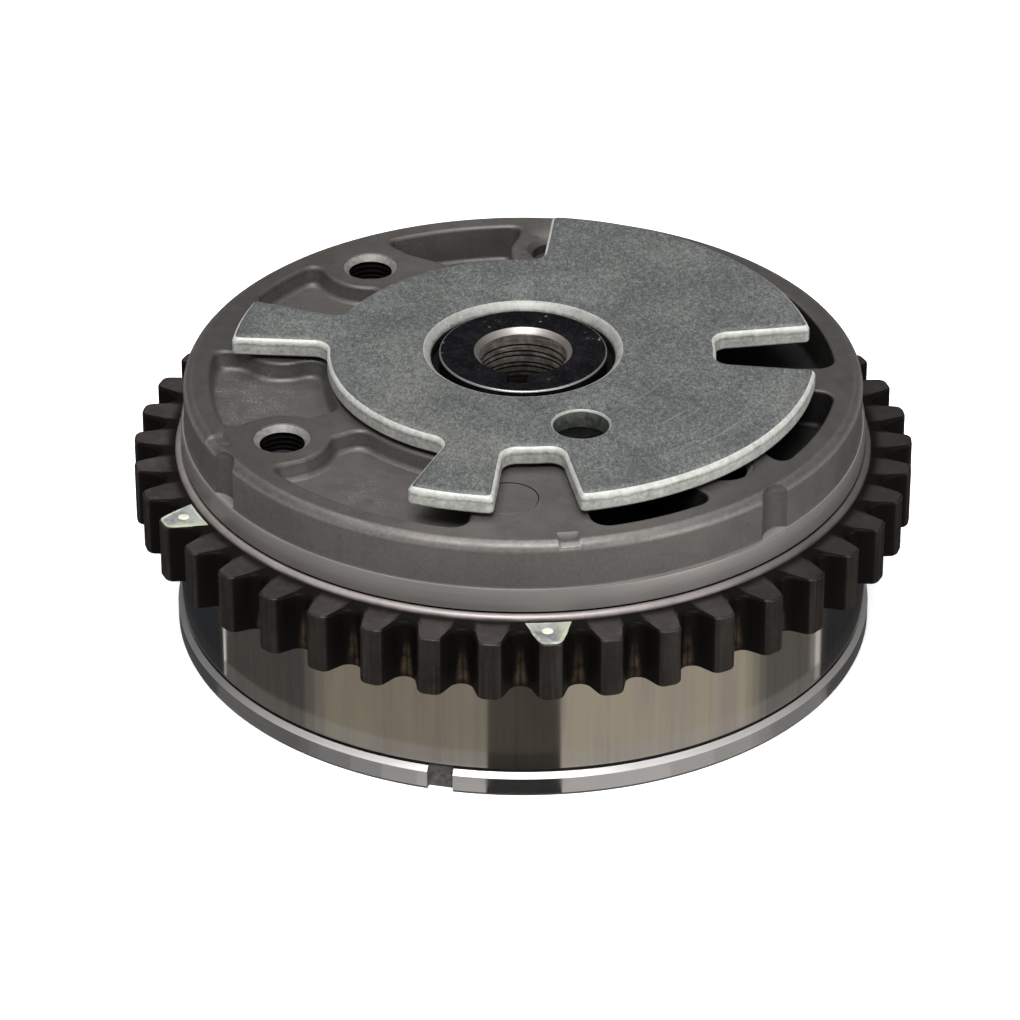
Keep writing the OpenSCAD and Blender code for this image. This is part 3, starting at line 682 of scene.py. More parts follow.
# ---------------------------------------------------------------- front cover
def land(x, y):
    """The bosses and ribs that stand between the pockets."""
    d = None
    for a in SCREW_A:
        ribs = np.minimum(d_bar(x, y, P_R1 - 3, SCREW_PCR, a, 3.0), d_bar(x, y, SCREW_PCR, P_R2 + 3, a, 6.0))
        b = smin(d_circle(x, y, SCREW_PCR, a, BOSS_R), ribs, 0.9)
        d = b if d is None else np.minimum(d, b)
    for a, r, rad, w in ((82.9, 35.7, 6.0, 5.4), (168.0, 33.7, 5.1, 3.2)):
        d = np.minimum(d, smin(d_circle(x, y, r, a, rad), d_bar(x, y, P_R1 - 3, P_R2 + 3, a, w), 0.9))
    # the slanting land beside the rear screw boss
    s = math.radians(SCREW_A[1])
    slope = np.maximum(np.maximum(0.5045 * x + 0.8634 * y - 21.17, y * math.cos(s) - x * math.sin(s)), x + 3.0)
    return np.minimum(d, slope)


def pockets(rows):
    def f(x, y):
        d = None
        for a1, a2 in rows:
            s = d_sector(x, y, P_R1, P_R2, a1, a2, P_C)
            d = s if d is None else np.minimum(d, s)
        return smax(d, -land(x, y), 2.2)
    return f


F_DEEP = pockets([(0.8, 40.5), (40.5, 82.9), (82.9, 125.6), (282.5, 306.3), (315.6, 351.8)])
F_SHALLOW = pockets([(125.6, 152.5), (168.0, 210.3), (210.3, 260.2)])
GROOVE_A, GROOVE_D, GROOVE_R = (211.1, 315.45), 48.1, 3.0
MARKS = [(205.5, 1.7), (277.55, 1.5)]


def f_outer(x, y):
    d = np.hypot(x, y) - COVER_R
    for a in GROOVE_A:
        d = np.maximum(d, -d_circle(x, y, GROOVE_D, a, GROOVE_R))
    return d


def rim_runs():
    """The rim by rising angle: grooves and the stretches of wall between them, points and outward normals of each."""
    mid = (COVER_R ** 2 - GROOVE_R ** 2 + GROOVE_D ** 2) / (2 * GROOVE_D)
    half = math.degrees(math.acos(mid / COVER_R))
    turn = math.degrees(math.acos((GROOVE_D - mid) / GROOVE_R))
    runs = []
    for a, nxt in zip(GROOVE_A, GROOVE_A[1:] + (GROOVE_A[0] + 360,)):
        b = np.radians(np.linspace(a + 180 + turn, a + 180 - turn, 23))
        n = -np.stack([np.cos(b), np.sin(b)], 1)
        runs.append((np.array(at(GROOVE_D, a)) - GROOVE_R * n, n))
        w = np.radians(np.linspace(a + half, nxt - half, int((nxt - a) / 0.45)))
        n = np.stack([np.cos(w), np.sin(w)], 1)
        runs.append((COVER_R * n, n))
    return runs


def step01(v):
    v = np.clip(v, 0, 1)
    return v * v * (3 - 2 * v)


def mark_depth(x, y):
    """Two plain shallow recesses across the rim."""
    r, th, d = np.hypot(x, y), np.degrees(np.arctan2(y, x)), 0.0
    for a, half in MARKS:
        s = np.radians((th - a + 180) % 360 - 180) * r
        d = d + 0.45 * step01((half - np.abs(s)) / 0.3)
    return d * step01((r - 43.45) / 0.4) * step01(-f_outer(x, y) / 0.4)


def rim_height(x, y):
    u = np.clip(1 + (np.hypot(x, y) - COVER_R) / EDGE, 0, 1)
    return -EDGE * (1 - np.sqrt(np.maximum(1 - u * u, 0))) - mark_depth(x, y)


def rim_normal(p):
    r = np.hypot(p[:, 0], p[:, 1])[:, None]
    u = np.clip(1 + (r - COVER_R) / EDGE, 0, 1)
    up = np.sqrt(np.maximum(1 - u * u, 0))
    h = 0.02
    gm = np.stack([mark_depth(p[:, 0] + h, p[:, 1]) - mark_depth(p[:, 0] - h, p[:, 1]),
                   mark_depth(p[:, 0], p[:, 1] + h) - mark_depth(p[:, 0], p[:, 1] - h)], 1) / (2 * h)
    return np.column_stack([p / r * u + gm * up, up])


def cover():
    b = Builder()
    holes = [(at(SCREW_PCR, a), 3.85, 3.03, 0.8) for a in SCREW_A] + [(at(35.7, 82.9), 3.82, 3.1, 0.72)]
    rt, rb = 0.6, 0.8
    tops = []
    for f, depth in ((F_DEEP, DEEP), (F_SHALLOW, SHALLOW)):
        tilt = np.radians([0, 22, 45, 65, 80])
        prof = [(rt - rt * math.sin(t), -rt * (1 - math.cos(t)), t) for t in tilt]
        wall = depth - (rt + rb) * (1 - math.cos(tilt[-1]))
        w = wall / math.tan(tilt[-1])
        d0, z0 = prof[-1][0] - w, prof[-1][1] - wall
        prof += [(d0 - rb * (math.sin(tilt[-1]) - math.sin(t)), z0 - rb * (math.cos(t) - math.cos(tilt[-1])), t) for t in tilt[::-1]]
        shift = -prof[2][0]
        floors = []
        for base in Field(f, 50).contours(0.0, 0.42):
            loops, norms = [], []
            g = grad(f, base)
            for d, z, t in prof:
                q = to_level(f, base + g * (d + shift), d + shift, 3)
                gq = grad(f, q)
                loops.append(np.column_stack([q, np.full(len(q), COVER_Z + z)]))
                norms.append(np.column_stack([-gq * math.sin(t), np.full(len(q), math.cos(t))]))
            b.strip(loops[:3], norms[:3])
            b.strip(loops[2:], norms[2:], True, 4 if f is F_DEEP else 0)
            tops.append(loops[0][:, :2])
            floors.append(loops[-1][:, :2])
        low = prof[-1][0] + shift
        v, t, _ = fill(floors, lambda x, y: f(x, y) < low + 0.02)
        b.patch(np.column_stack([v, np.full(len(v), COVER_Z - depth)]), np.tile(UP, (len(v), 1)), t, 4 if f is F_DEEP else 0)
        if f is F_DEEP:
            cut_deep = prof[0][0] + shift
        else:
            cut_shallow = prof[0][0] + shift

    # the flat lands and the rounded rim, in one fill
    flat = list(tops)
    for (cx, cy), r, _, _ in holes:
        flat.append(ring(r + 0.12, 72, 0, cx, cy)[:, :2])
    px, py = at(PLUG_PCR, PLUG_A)
    flat.append(ring(PLUG_R + 0.1, 64, 0, px, py)[:, :2])
    flat.append(ring(22.4, 240, 0)[:, :2])
    runs = rim_runs()
    rim = np.vstack([q[:-1] for q, _ in runs])
    flat.append(rim)
    for t in np.radians([0, 15, 30, 44, 57, 69, 80]):
        flat.append(ring(COVER_R - EDGE * (1 - math.sin(t)), 720, 0)[:, :2])
    for a, half in MARKS:
        for q in (half - 0.3, half):
            o = [at(r, a + sgn * math.degrees(q / r)) for sgn, rr in ((1, np.linspace(43.5, 46.2, 9)), (-1, np.linspace(46.2, 43.5, 9))) for r in rr]
            flat.append(np.array(o))

    def keep(x, y):
        ok = (np.hypot(x, y) > 22.4) & (f_outer(x, y) < 0.0)
        ok &= (F_DEEP(x, y) > cut_deep - 0.01) & (F_SHALLOW(x, y) > cut_shallow - 0.01)
        for (cx, cy), r, _, _ in holes:
            ok &= np.hypot(x - cx, y - cy) > r + 0.11
        return ok & (np.hypot(x - px, y - py) > PLUG_R + 0.09)

    v, t, _ = fill(flat, keep)
    vz = rim_height(v[:, 0], v[:, 1])
    b.patch(np.column_stack([v, COVER_Z + vz]), rim_normal(v), t)

    # screw holes, dimple and plug seat
    for (cx, cy), r, r2, h in holes:
        screw = h > 0.75
        b.revolve([(r + 0.12, COVER_Z), (r, COVER_Z - 0.05), (r - 0.06, COVER_Z - 0.13)], around(72), True, 0, 60, (cx, cy))
        b.revolve([(r - 0.06, COVER_Z - 0.13), (r2 + 0.04, COVER_Z - h), (r2, COVER_Z - h - 0.06)], around(72), True, 3 if screw else 0, 60, (cx, cy))
        if screw:
            prof = [(r2, COVER_Z - h - 0.06)]
            for k in range(10):
                z1 = COVER_Z - h - 0.2 - 0.75 * k
                prof += [(r2 + 0.02, z1), (r2 + 0.34, z1 - 0.33), (r2 + 0.34, z1 - 0.42)]
            prof += [(r2 + 0.02, JOINT_Z + 0.5), (r2 + 0.02, JOINT_Z)]
        else:
            prof = [(r2, COVER_Z - h - 0.06), (r2, COVER_Z - 2.1), (r2 - 0.4, COVER_Z - 2.5), (0.02, COVER_Z - 2.5)]
        b.revolve(prof, around(72), True, 2 if screw else 0, 25, (cx, cy))
    b.revolve([(PLUG_R + 0.1, COVER_Z), (PLUG_R + 0.05, COVER_Z - 0.2), (PLUG_R + 0.05, COVER_Z - 3)], around(64), True, 2, 60, (px, py))
    # recess round the rotor nose, and the rear face
    a240 = around(240)
    b.revolve([(22.4, COVER_Z), (22.1, COVER_Z - 0.1), (22.0, COVER_Z - 0.4), (22.0, 35.8), (16.3, 35.8), (16.3, JOINT_Z)], a240, True, 4)
    # outer wall, step and machined band, all on the angles of the rim
    ang = np.arctan2(rim[:, 1], rim[:, 0])
    c, s = np.cos(ang), np.sin(ang)
    feet = []
    for i, (q, n) in enumerate(runs):
        # where two runs meet, their feet meet too
        lean = n.copy()
        lean[0] += runs[i - 1][1][-1]
        lean[-1] += runs[(i + 1) % len(runs)][1][0]
        lean /= np.linalg.norm(lean, axis=1, keepdims=True)
        flat_n = np.column_stack([n, np.zeros(len(n))])
        top = np.column_stack([q, COVER_Z + rim_height(q[:, 0], q[:, 1])])
        mid = np.column_stack([q, np.full(len(q), STEP_Z + 0.22)])
        foot = np.column_stack([q + lean * 0.14, np.full(len(q), STEP_Z + 0.02)])
        mat = 6 if len(n) == 23 else 0
        b.strip([top, mid], [flat_n, flat_n], False, mat)
        b.strip([mid, foot], [flat_n, np.column_stack([n * 0.7, np.full(len(n), 0.7)])], False, mat)
        feet.append(foot[:-1])
    b.strip([np.vstack(feet), np.stack([(BAND_R - 0.22) * c, (BAND_R - 0.22) * s, np.full_like(c, STEP_Z)], 1)],
            [np.tile(UP, (len(c), 1))] * 2, True, 5)
    deg = np.degrees(ang)
    b.revolve([(BAND_R - 0.2, JOINT_Z), (BAND_R, JOINT_Z + 0.2)], deg, True, 2)
    b.revolve([(BAND_R, JOINT_Z + 0.2), (BAND_R, STEP_Z - 0.2), (BAND_R - 0.06, STEP_Z - 0.06), (BAND_R - 0.22, STEP_Z)], deg, True, 1)
    low = [np.stack([(BAND_R - 0.2) * c, (BAND_R - 0.2) * s], 1), ring(16.3, 240, 0)[:, :2]]
    bores = [at(SCREW_PCR, q) for q in SCREW_A]
    low += [ring(3.05, 72, 0, cx, cy)[:, :2] for cx, cy in bores]

    def under(x, y):
        ok = np.hypot(x, y) > 16.29
        for cx, cy in bores:
            ok &= np.hypot(x - cx, y - cy) > 3.04
        return ok

    v, t, _ = fill(low, under)
    b.patch(np.column_stack([v, np.full(len(v), JOINT_Z)]), np.tile(DOWN, (len(v), 1)), t)
    return b.make("cover_body", [M_COVER, M_BAND, M_DARK_HOLE, M_BORE_RIM, M_DEEP, M_STEP, M_GROOVE], "housing", ("front_cover",))


cover()


def plug():
    b = Builder()
    px, py = at(PLUG_PCR, PLUG_A)
    prof = [(PLUG_R, COVER_Z - 4.9), (PLUG_R, COVER_Z - 0.12), (PLUG_R - 0.02, COVER_Z - 0.07), (PLUG_R - 0.06, COVER_Z - 0.05)]
    b.revolve(prof, around(64), True, 0, 40, (px, py))
    for z, n in ((COVER_Z - 0.05, UP), (COVER_Z - 4.9, DOWN)):
        p = ring(PLUG_R - 0.06 if n is UP else PLUG_R, 64, z, px, py)
        b.patch(p, np.tile(n, (64, 1)), [list(range(64))])
    return b.make("land_plug", [M_PLUG], "housing", ("cover_plug",))


plug()


# ---------------------------------------------------------------- toothed ring
def tooth_outline():
    """Valley, flanks and rounded tips of all teeth, by rising angle."""
    vr, n = 1.6, 12
    cx = ROOT_R + vr
    half = (2 * math.pi * TIP_R / TEETH - TIP_W) / 2
    h = TIP_R - cx
    t = math.atan2(h, half) - math.acos(vr / math.hypot(half, h))
    foot = np.array([cx + vr * math.sin(t), vr * math.cos(t)])
    lean = math.atan2(half - foot[1], TIP_R - foot[0])
    u = np.array([math.cos(lean), math.sin(lean)])
    start = foot + TIP_C * np.array([-u[1], u[0]])
    along = float(start @ u)
    corner = start + u * (math.sqrt(along * along - float(start @ start) + (TIP_R - TIP_C) ** 2) - along)
    end = math.atan2(corner[1], corner[0])
    b = lean - math.pi / 2 + (end - lean + math.pi / 2) * np.arange(8) / 7
    tip = corner + TIP_C * np.stack([np.cos(b), np.sin(b)], 1)
    flank = foot + (tip[0] - foot) * np.array([[0.33], [0.67]])
    a = math.pi * 1.5 + t + (-math.pi - 2 * t) * np.arange(n + 1) / n
    valley = np.stack([cx + vr * np.cos(a), vr * np.sin(a)], 1)
    up = np.vstack([flank, tip])
    k = math.pi / TEETH
    one = np.vstack([up[::-1] * [1, -1], valley, up, [[TIP_R * math.cos(k), TIP_R * math.sin(k)]]])
    pts = []
    for i in range(TEETH):
        g = math.radians(TOOTH_A + (i + 0.5) * 360.0 / TEETH)
        pts.append(one @ np.array([[math.cos(g), math.sin(g)], [-math.sin(g), math.cos(g)]]))
    return np.vstack(pts)


def sprocket():
    b = Builder()
    p = tooth_outline()
    tan = np.roll(p, -1, 0) - np.roll(p, 1, 0)
    nrm = np.stack([tan[:, 1], -tan[:, 0]], 1)
    nrm /= np.linalg.norm(nrm, axis=1, keepdims=True)
    depth = np.clip((TIP_R - np.hypot(p[:, 0], p[:, 1])) / (TIP_R - ROOT_R), 0, 1)
    # the front edge is broken more in the gaps than on the tips
    e_top, e_low = 0.3 + 0.4 * depth ** 2, np.full(len(p), 0.3)

    def row(e, z, t, sgn):
        at_z = z - sgn * e * (1 - math.sin(t))
        return (np.column_stack([p - nrm * (e * (1 - math.cos(t)))[:, None], at_z]),
                np.column_stack([nrm * math.cos(t), np.full(len(p), sgn * math.sin(t))]))

    rows = [row(e_low, DRUM_Z, t, -1) for t in np.radians([90, 60, 30, 0])] + [row(e_top, TEETH_Z, t, 1) for t in np.radians([0, 25, 50, 70, 90])]
    b.strip([q[0] for q in rows], [q[1] for q in rows])
    ang = np.arctan2(p[:, 1], p[:, 0])
    c, s = np.cos(ang), np.sin(ang)

    def circ(r, z):
        return np.stack([r * c, r * s, np.full_like(c, z)], 1)

    flat = np.tile(UP, (len(p), 1))
    foot = LIP_R + 0.1
    b.strip([rows[-1][0], circ(foot, TEETH_Z)], [flat, flat], True, 5)
    b.strip([rows[0][0], circ(SPIGOT_R + 0.05, DRUM_Z)], [-flat, -flat])
    deg, lh = np.degrees(ang), JOINT_Z - TEETH_Z
    b.revolve([(foot, TEETH_Z), (LIP_R + 0.02, TEETH_Z + 0.08)], deg, True, 5)
    b.revolve([(LIP_R + 0.02, TEETH_Z + 0.08)]
              + [(LIP_R - lh + lh * math.cos(t), TEETH_Z + lh * math.sin(t)) for t in np.radians([14, 28, 42, 56, 72, 84])]
              + [(46.95, JOINT_Z - 0.03), (46.86, JOINT_Z - 0.12)], deg, True, 1, 50)
    b.revolve([(46.86, JOINT_Z - 0.12), (46.84, JOINT_Z - 0.3), (46.6, JOINT_Z - 0.3), (46.58, JOINT_Z), (SPIGOT_R + 0.05, JOINT_Z), (SPIGOT_R + 0.05, DRUM_Z)],
              deg, True, 0, 25)
    # thin paint over the fronts of two marked teeth: film, pale edge and a dab
    for a in (TOOTH_A, TOOTH_A - 8 * 360 / TEETH):
        d = (deg - a + 180) % 360 - 180
        idx = np.where((np.abs(d) < 3.4) & (np.hypot(p[:, 0], p[:, 1]) > 50.9))[0]
        idx = idx[np.argsort(d[idx])]
        lay = []
        for inset, back in ((0.2, 0.12), (0.36, 0.22), (0.66, 0.55)):
            q = (p - nrm * inset)[idx]
            w = 3.9 - inset * 1.1
            lay.append(np.vstack([q] + [[at(foot + back, a + k)] for k in (w, w / 3, -w / 3, -w)]))
        z = [TEETH_Z - 0.03, TEETH_Z + 0.05, TEETH_Z + 0.04]
        up = np.tile(UP, (len(lay[0]), 1))
        b.strip([np.column_stack([q, np.full(len(q), zz)]) for q, zz in zip(lay, z)], [up] * 3, True, 3)
        v, t, _ = fill([lay[2]], lambda x, y: np.ones(len(x), bool))
        t = np.array([f for f in t if point_in(v[f].mean(0), lay[2])])
        b.patch(np.column_stack([v, np.full(len(v), z[2])]), np.tile(UP, (len(v), 1)), t, 2)
        cx, cy = at(50.15, a - 0.3)
        b.revolve([(0.76, TEETH_Z + 0.04), (0.66, TEETH_Z + 0.1), (0.4, TEETH_Z + 0.15), (0.02, TEETH_Z + 0.17)], around(24), True, 4, 70, (cx, cy))
    return b.make("chain_ring", [M_TEETH, M_LIP, M_PFILM, M_PEDGE, M_PDOT, M_TTOP], "housing", ("sprocket_ring",))


def point_in(q, poly):
    x, y = q
    hit = False
    for i in range(len(poly)):
        (x1, y1), (x2, y2) = poly[i], poly[i - 1]
        if (y1 > y) != (y2 > y) and x < (x2 - x1) * (y - y1) / (y2 - y1) + x1:
            hit = not hit
    return hit


sprocket()


# ---------------------------------------------------------------- polished drum
def drum():
    b = Builder()
    k = 720
    deg = around(k)
    a = np.radians(deg)
    c, s = np.cos(a), np.sin(a)
    b.revolve([(DRUM_R - 0.4, PLATE_Z), (DRUM_R - 0.4, PLATE_Z + 0.42), (DRUM_R - 0.04, PLATE_Z + 0.52)], deg, True, 2, 15)
    b.revolve([(DRUM_R - 0.04, PLATE_Z + 0.52), (DRUM_R, PLATE_Z + 0.58), (DRUM_R, DRUM_Z - 0.1), (DRUM_R - 0.1, DRUM_Z),
               (SPIGOT_R, DRUM_Z), (SPIGOT_R, JOINT_Z)], deg, True, 0, 15)
    lobe = np.zeros(k, bool)
    for q in SCREW_A:
        lobe |= np.abs((deg - q + 180) % 360 - 180) <= LOBE_H
    r_in = np.where(lobe, LOBE_R, CHAMBER_R)
    rows = [np.stack([r_in * c, r_in * s, np.full(k, z)], 1) for z in (JOINT_Z, PLATE_Z)]
    nin = np.stack([-c, -s, np.zeros(k)], 1)
    b.strip(rows, [nin, nin], True, 1)
    for z, n, r in ((JOINT_Z, UP, SPIGOT_R), (PLATE_Z, DOWN, DRUM_R - 0.4)):
        nn = np.tile(n, (k, 1))
        b.strip([np.stack([r_in * c, r_in * s, np.full(k, z)], 1), np.stack([r * c, r * s, np.full(k, z)], 1)], [nn, nn], True, 1)
    return b.make("vane_housing", [M_DRUM, M_ROTOR, M_SEAM_AND_SHADE], "housing", ("stator",))


drum()


# ---------------------------------------------------------------- rear plate
def plate():
    b = Builder()
    half = math.degrees(math.asin(1.72 / (PLATE_R - 0.5)))
    n0, n1 = NOTCH_A - half, NOTCH_A + half
    floor_r = PLATE_R - 1.0
    prof = [(PLATE_R - 0.16, 0.0), (PLATE_R, 0.36), (PLATE_R, PLATE_Z - 0.65), (PLATE_R - 0.7, PLATE_Z), (floor_r, PLATE_Z)]
    run = np.linspace(n1, n0 + 360, 700)
    # the lower edge takes the near-black material as a painted contact shadow
    b.revolve(prof[:2], run, False, 3, 20)
    b.revolve(prof[1:3], run, False, 0, 20)
    b.revolve(prof[2:4], run, False, 2, 20)
    b.revolve(prof[3:], run, False, 3, 20)
    gap = np.linspace(n0, n1, 8)
    fr = floor_r * math.cos(math.radians(half))
    pts = [(fr / math.cos(math.radians(q - NOTCH_A)), q) for q in gap]
    lo = np.array([[*at(r, q), 0.0] for r, q in pts])
    hi = lo + np.array([0, 0, PLATE_Z])
    nn = np.tile([*at(1, NOTCH_A), 0.0], (len(lo), 1))
    b.strip([lo, hi], [nn, nn], False, 1)
    for q, sgn in ((n0, 1), (n1, -1)):
        pr = [(floor_r, 0.0)] + prof
        v = np.array([[*at(r, q), z] for r, z in pr])
        t = np.array([-math.sin(math.radians(q)), math.cos(math.radians(q)), 0.0]) * sgn
        b.patch(v, np.tile(t, (len(v), 1)), [list(range(len(v)))], 1)
    outer = np.array([at(PLATE_R - 0.16, q) for q in run] + [at(floor_r, n0)] + [at(r, q) for r, q in pts[1:-1]] + [at(floor_r, n1)])
    loops = [outer, ring(PLATE_HOLE_R + 0.4, 240, 0)[:, :2]]
    sunk = [at(SCREW_PCR, a) for a in SCREW_A]
    for cx, cy in sunk:
        loops.append(ring(SCREW_R + 3.12, 72, 0, cx, cy)[:, :2])
    lx, ly = at(PIN_PCR, LOCK_A)
    loops.append(ring(1.6, 32, 0, lx, ly)[:, :2])

    def keep(x, y):
        ok = np.hypot(x, y) > PLATE_HOLE_R + 0.39
        for cx, cy in sunk:
            ok &= np.hypot(x - cx, y - cy) > SCREW_R + 3.1
        ok &= np.hypot(x - lx, y - ly) > 1.59
        u = (np.degrees(np.arctan2(y, x)) - NOTCH_A + 180) % 360 - 180
        return ok & ~((np.abs(u) < half - 0.05) & (np.hypot(x, y) > floor_r))

    v, t, _ = fill(loops, keep)
    b.patch(np.column_stack([v, np.zeros(len(v))]), np.tile(DOWN, (len(v), 1)), t)
    for cx, cy in sunk:
        b.revolve([(SCREW_R + 0.15, PLATE_Z), (SCREW_R + 0.15, 2.98), (SCREW_R + 3.12, 0.0)], around(72), True, 0, 25, (cx, cy))
    b.revolve([(1.5, 0.5), (1.6, 0.0)], around(32), True, 0, 25, (lx, ly))
    b.revolve([(PLATE_HOLE_R, PLATE_Z), (PLATE_HOLE_R, 0.4), (PLATE_HOLE_R + 0.4, 0.0)], around(240), True, 0, 25)
    k = around(240)
    b.revolve([(floor_r, PLATE_Z), (PLATE_HOLE_R, PLATE_Z)], k)
    return b.make("closing_plate", [M_PLATE, M_NOTCH, M_CHAMFER, M_SEAM_AND_SHADE], "housing", ("rear_plate",))


plate()


# ---------------------------------------------------------------- centre bush
def bush():
    b = Builder()
    na, nw, far, cham, deep = 264.7, 1.37, 9.0, 0.7, 2.0
    ca, sa = math.cos(math.radians(na)), math.sin(math.radians(na))

    def span(r):
        h = math.degrees(math.asin(nw / r))
        return np.linspace(na + h, na - h + 360, 170)

    def uv(u, v, z):
        return [u * ca - v * sa, u * sa + v * ca, z]

    def rows(prof, mat):
        prof = np.asarray(prof, float)
        seg = prof[1:] - prof[:-1]
        nn = np.stack([seg[:, 1], -seg[:, 0]], 1)
        nn /= np.linalg.norm(nn, axis=1, keepdims=True)
        loops, norms = [], []
        for k, (r, z) in enumerate(prof):
            m = np.mean([nn[q] for q in (k - 1, k) if 0 <= q < len(nn)], 0)
            a = np.radians(span(r))
            loops.append(np.stack([r * np.cos(a), r * np.sin(a), np.full(len(a), z)], 1))
            norms.append(np.stack([m[0] * np.cos(a), m[0] * np.sin(a), np.full(len(a), m[1])], 1))
        b.strip(loops, norms, False, mat)

    k200 = around(200)
    b.revolve([(BUSH_R, 11.0), (BUSH_R, 14.2), (BUSH_R - 0.8, 14.2), (BUSH_R - 0.8, 15.8), (BUSH_R, 15.8), (BUSH_R, 19.2), (BUSH_R - 0.8, 19.2),
               (BUSH_R - 0.8, 20.8), (BUSH_R, 20.8), (BUSH_R, BUSH_Z - 0.22)], k200, True, 0, 20)
    b.revolve([(BUSH_R, BUSH_Z - 0.22), (BUSH_R - 0.06, BUSH_Z - 0.07), (BUSH_R - 0.2, BUSH_Z)], k200, True, 1, 80)
    mouth = BOLT_R + cham
    a = np.radians(span(mouth))
    inner = np.vstack([np.stack([mouth * np.cos(a), mouth * np.sin(a)], 1), [uv(far, -nw, 0)[:2], uv(far, nw, 0)[:2]]])
    v, t, _ = fill([ring(BUSH_R - 0.2, 200, 0)[:, :2], inner], lambda x, y: np.ones(len(x), bool))
    t = np.array([f for f in t if not point_in(v[f].mean(0), inner)])
    b.patch(np.column_stack([v, np.full(len(v), BUSH_Z)]), np.tile(UP, (len(v), 1)), t, 0)
    # mouth of the bore, cut by the key notch
    rows([(mouth, BUSH_Z), (mouth - 0.06, BUSH_Z - 0.05), (BOLT_R + 0.06, BUSH_Z - cham + 0.03), (BOLT_R, BUSH_Z - cham - 0.06)], 4)
    rows([(BOLT_R, BUSH_Z - cham - 0.06), (BOLT_R, BUSH_Z - deep)], 2)
    for sgn in (-1, 1):
        u0, u1 = math.sqrt(BOLT_R ** 2 - nw ** 2), math.sqrt(mouth ** 2 - nw ** 2)
        q = np.array([uv(u1, sgn * nw, BUSH_Z), uv(far, sgn * nw, BUSH_Z), uv(far, sgn * nw, BUSH_Z - deep), uv(u0, sgn * nw, BUSH_Z - deep),
                      uv(u0, sgn * nw, BUSH_Z - cham - 0.06)])
        b.patch(q, np.tile([sgn * sa, -sgn * ca, 0.0], (5, 1)), [list(range(5))], 3)
    q = np.array([uv(far, -nw, BUSH_Z), uv(far, nw, BUSH_Z), uv(far, nw, BUSH_Z - deep), uv(far, -nw, BUSH_Z - deep)])
    b.patch(q, np.tile([-ca, -sa, 0.0], (4, 1)), [list(range(4))], 3)
    h = math.degrees(math.asin(nw / BOLT_R))
    arc = np.linspace(na - h, na + h, 14)
    q = np.array([[*at(BOLT_R, w), BUSH_Z - deep] for w in arc] + [uv(far, nw, BUSH_Z - deep), uv(far, -nw, BUSH_Z - deep)])
    b.patch(q, np.tile(UP, (len(q), 1)), [list(range(len(q)))], 3)
    # turned rings down the bore
    prof, z = [(BOLT_R, BUSH_Z - deep)], BUSH_Z - deep
    for gap, cut in [(0.25, 0.1), (0.7, 0.05), (0.45, 0.08), (0.8, 0.04), (0.35, 0.1), (0.6, 0.07), (0.5, 0.04), (0.7, 0.08),
                     (0.5, 0.05), (0.9, 0.08), (0.6, 0.04), (0.8, 0.07)]:
        z -= gap
        wall = np.concatenate([span(BOLT_R), arc[1:-1]])
        b.revolve(prof + [(BOLT_R, z)], wall, True, 2, 20)
        b.revolve([(BOLT_R, z), (BOLT_R + cut, z - 0.06), (BOLT_R + cut, z - 0.2), (BOLT_R, z - 0.26)], wall, True, 3, 20)
        z -= 0.26
        prof = [(BOLT_R, z)]
    b.revolve(prof + [(BOLT_R, 11.4), (BOLT_R + 0.4, 11.0)], np.concatenate([span(BOLT_R), arc[1:-1]]), True, 2, 20)
    low = [ring(BUSH_R, 200, 0)[:, :2], np.array([at(BOLT_R + 0.4, w) for w in np.concatenate([span(BOLT_R), arc[1:-1]])])]
    v, t, _ = fill(low, lambda x, y: np.hypot(x, y) > BOLT_R + 0.39)
    b.patch(np.column_stack([v, np.full(len(v), 11.0)]), np.tile(DOWN, (len(v), 1)), t, 0)
    return b.make("centre_bush", [M_BLACK, M_LINE, M_BORE, M_DARK_HOLE, M_BRIGHT], "rotor", ("hub_bush",))


bush()


# ---------------------------------------------------------------- trigger wheel
def f_wheel(x, y):
    d = np.hypot(x, y) - WHEEL_R
    for a1, a2, r1 in ((84.0, 158.8, GAP_R), (175.6, 247.8, GAP_R), (264.5, 280.8, GAP_R + 0.3), (352.2, 369.3, GAP_R - 0.4)):
        d = smax(d, -d_sector(x, y, r1, WHEEL_R + 8, a1, a2, 2.0), 0.7)
    return d


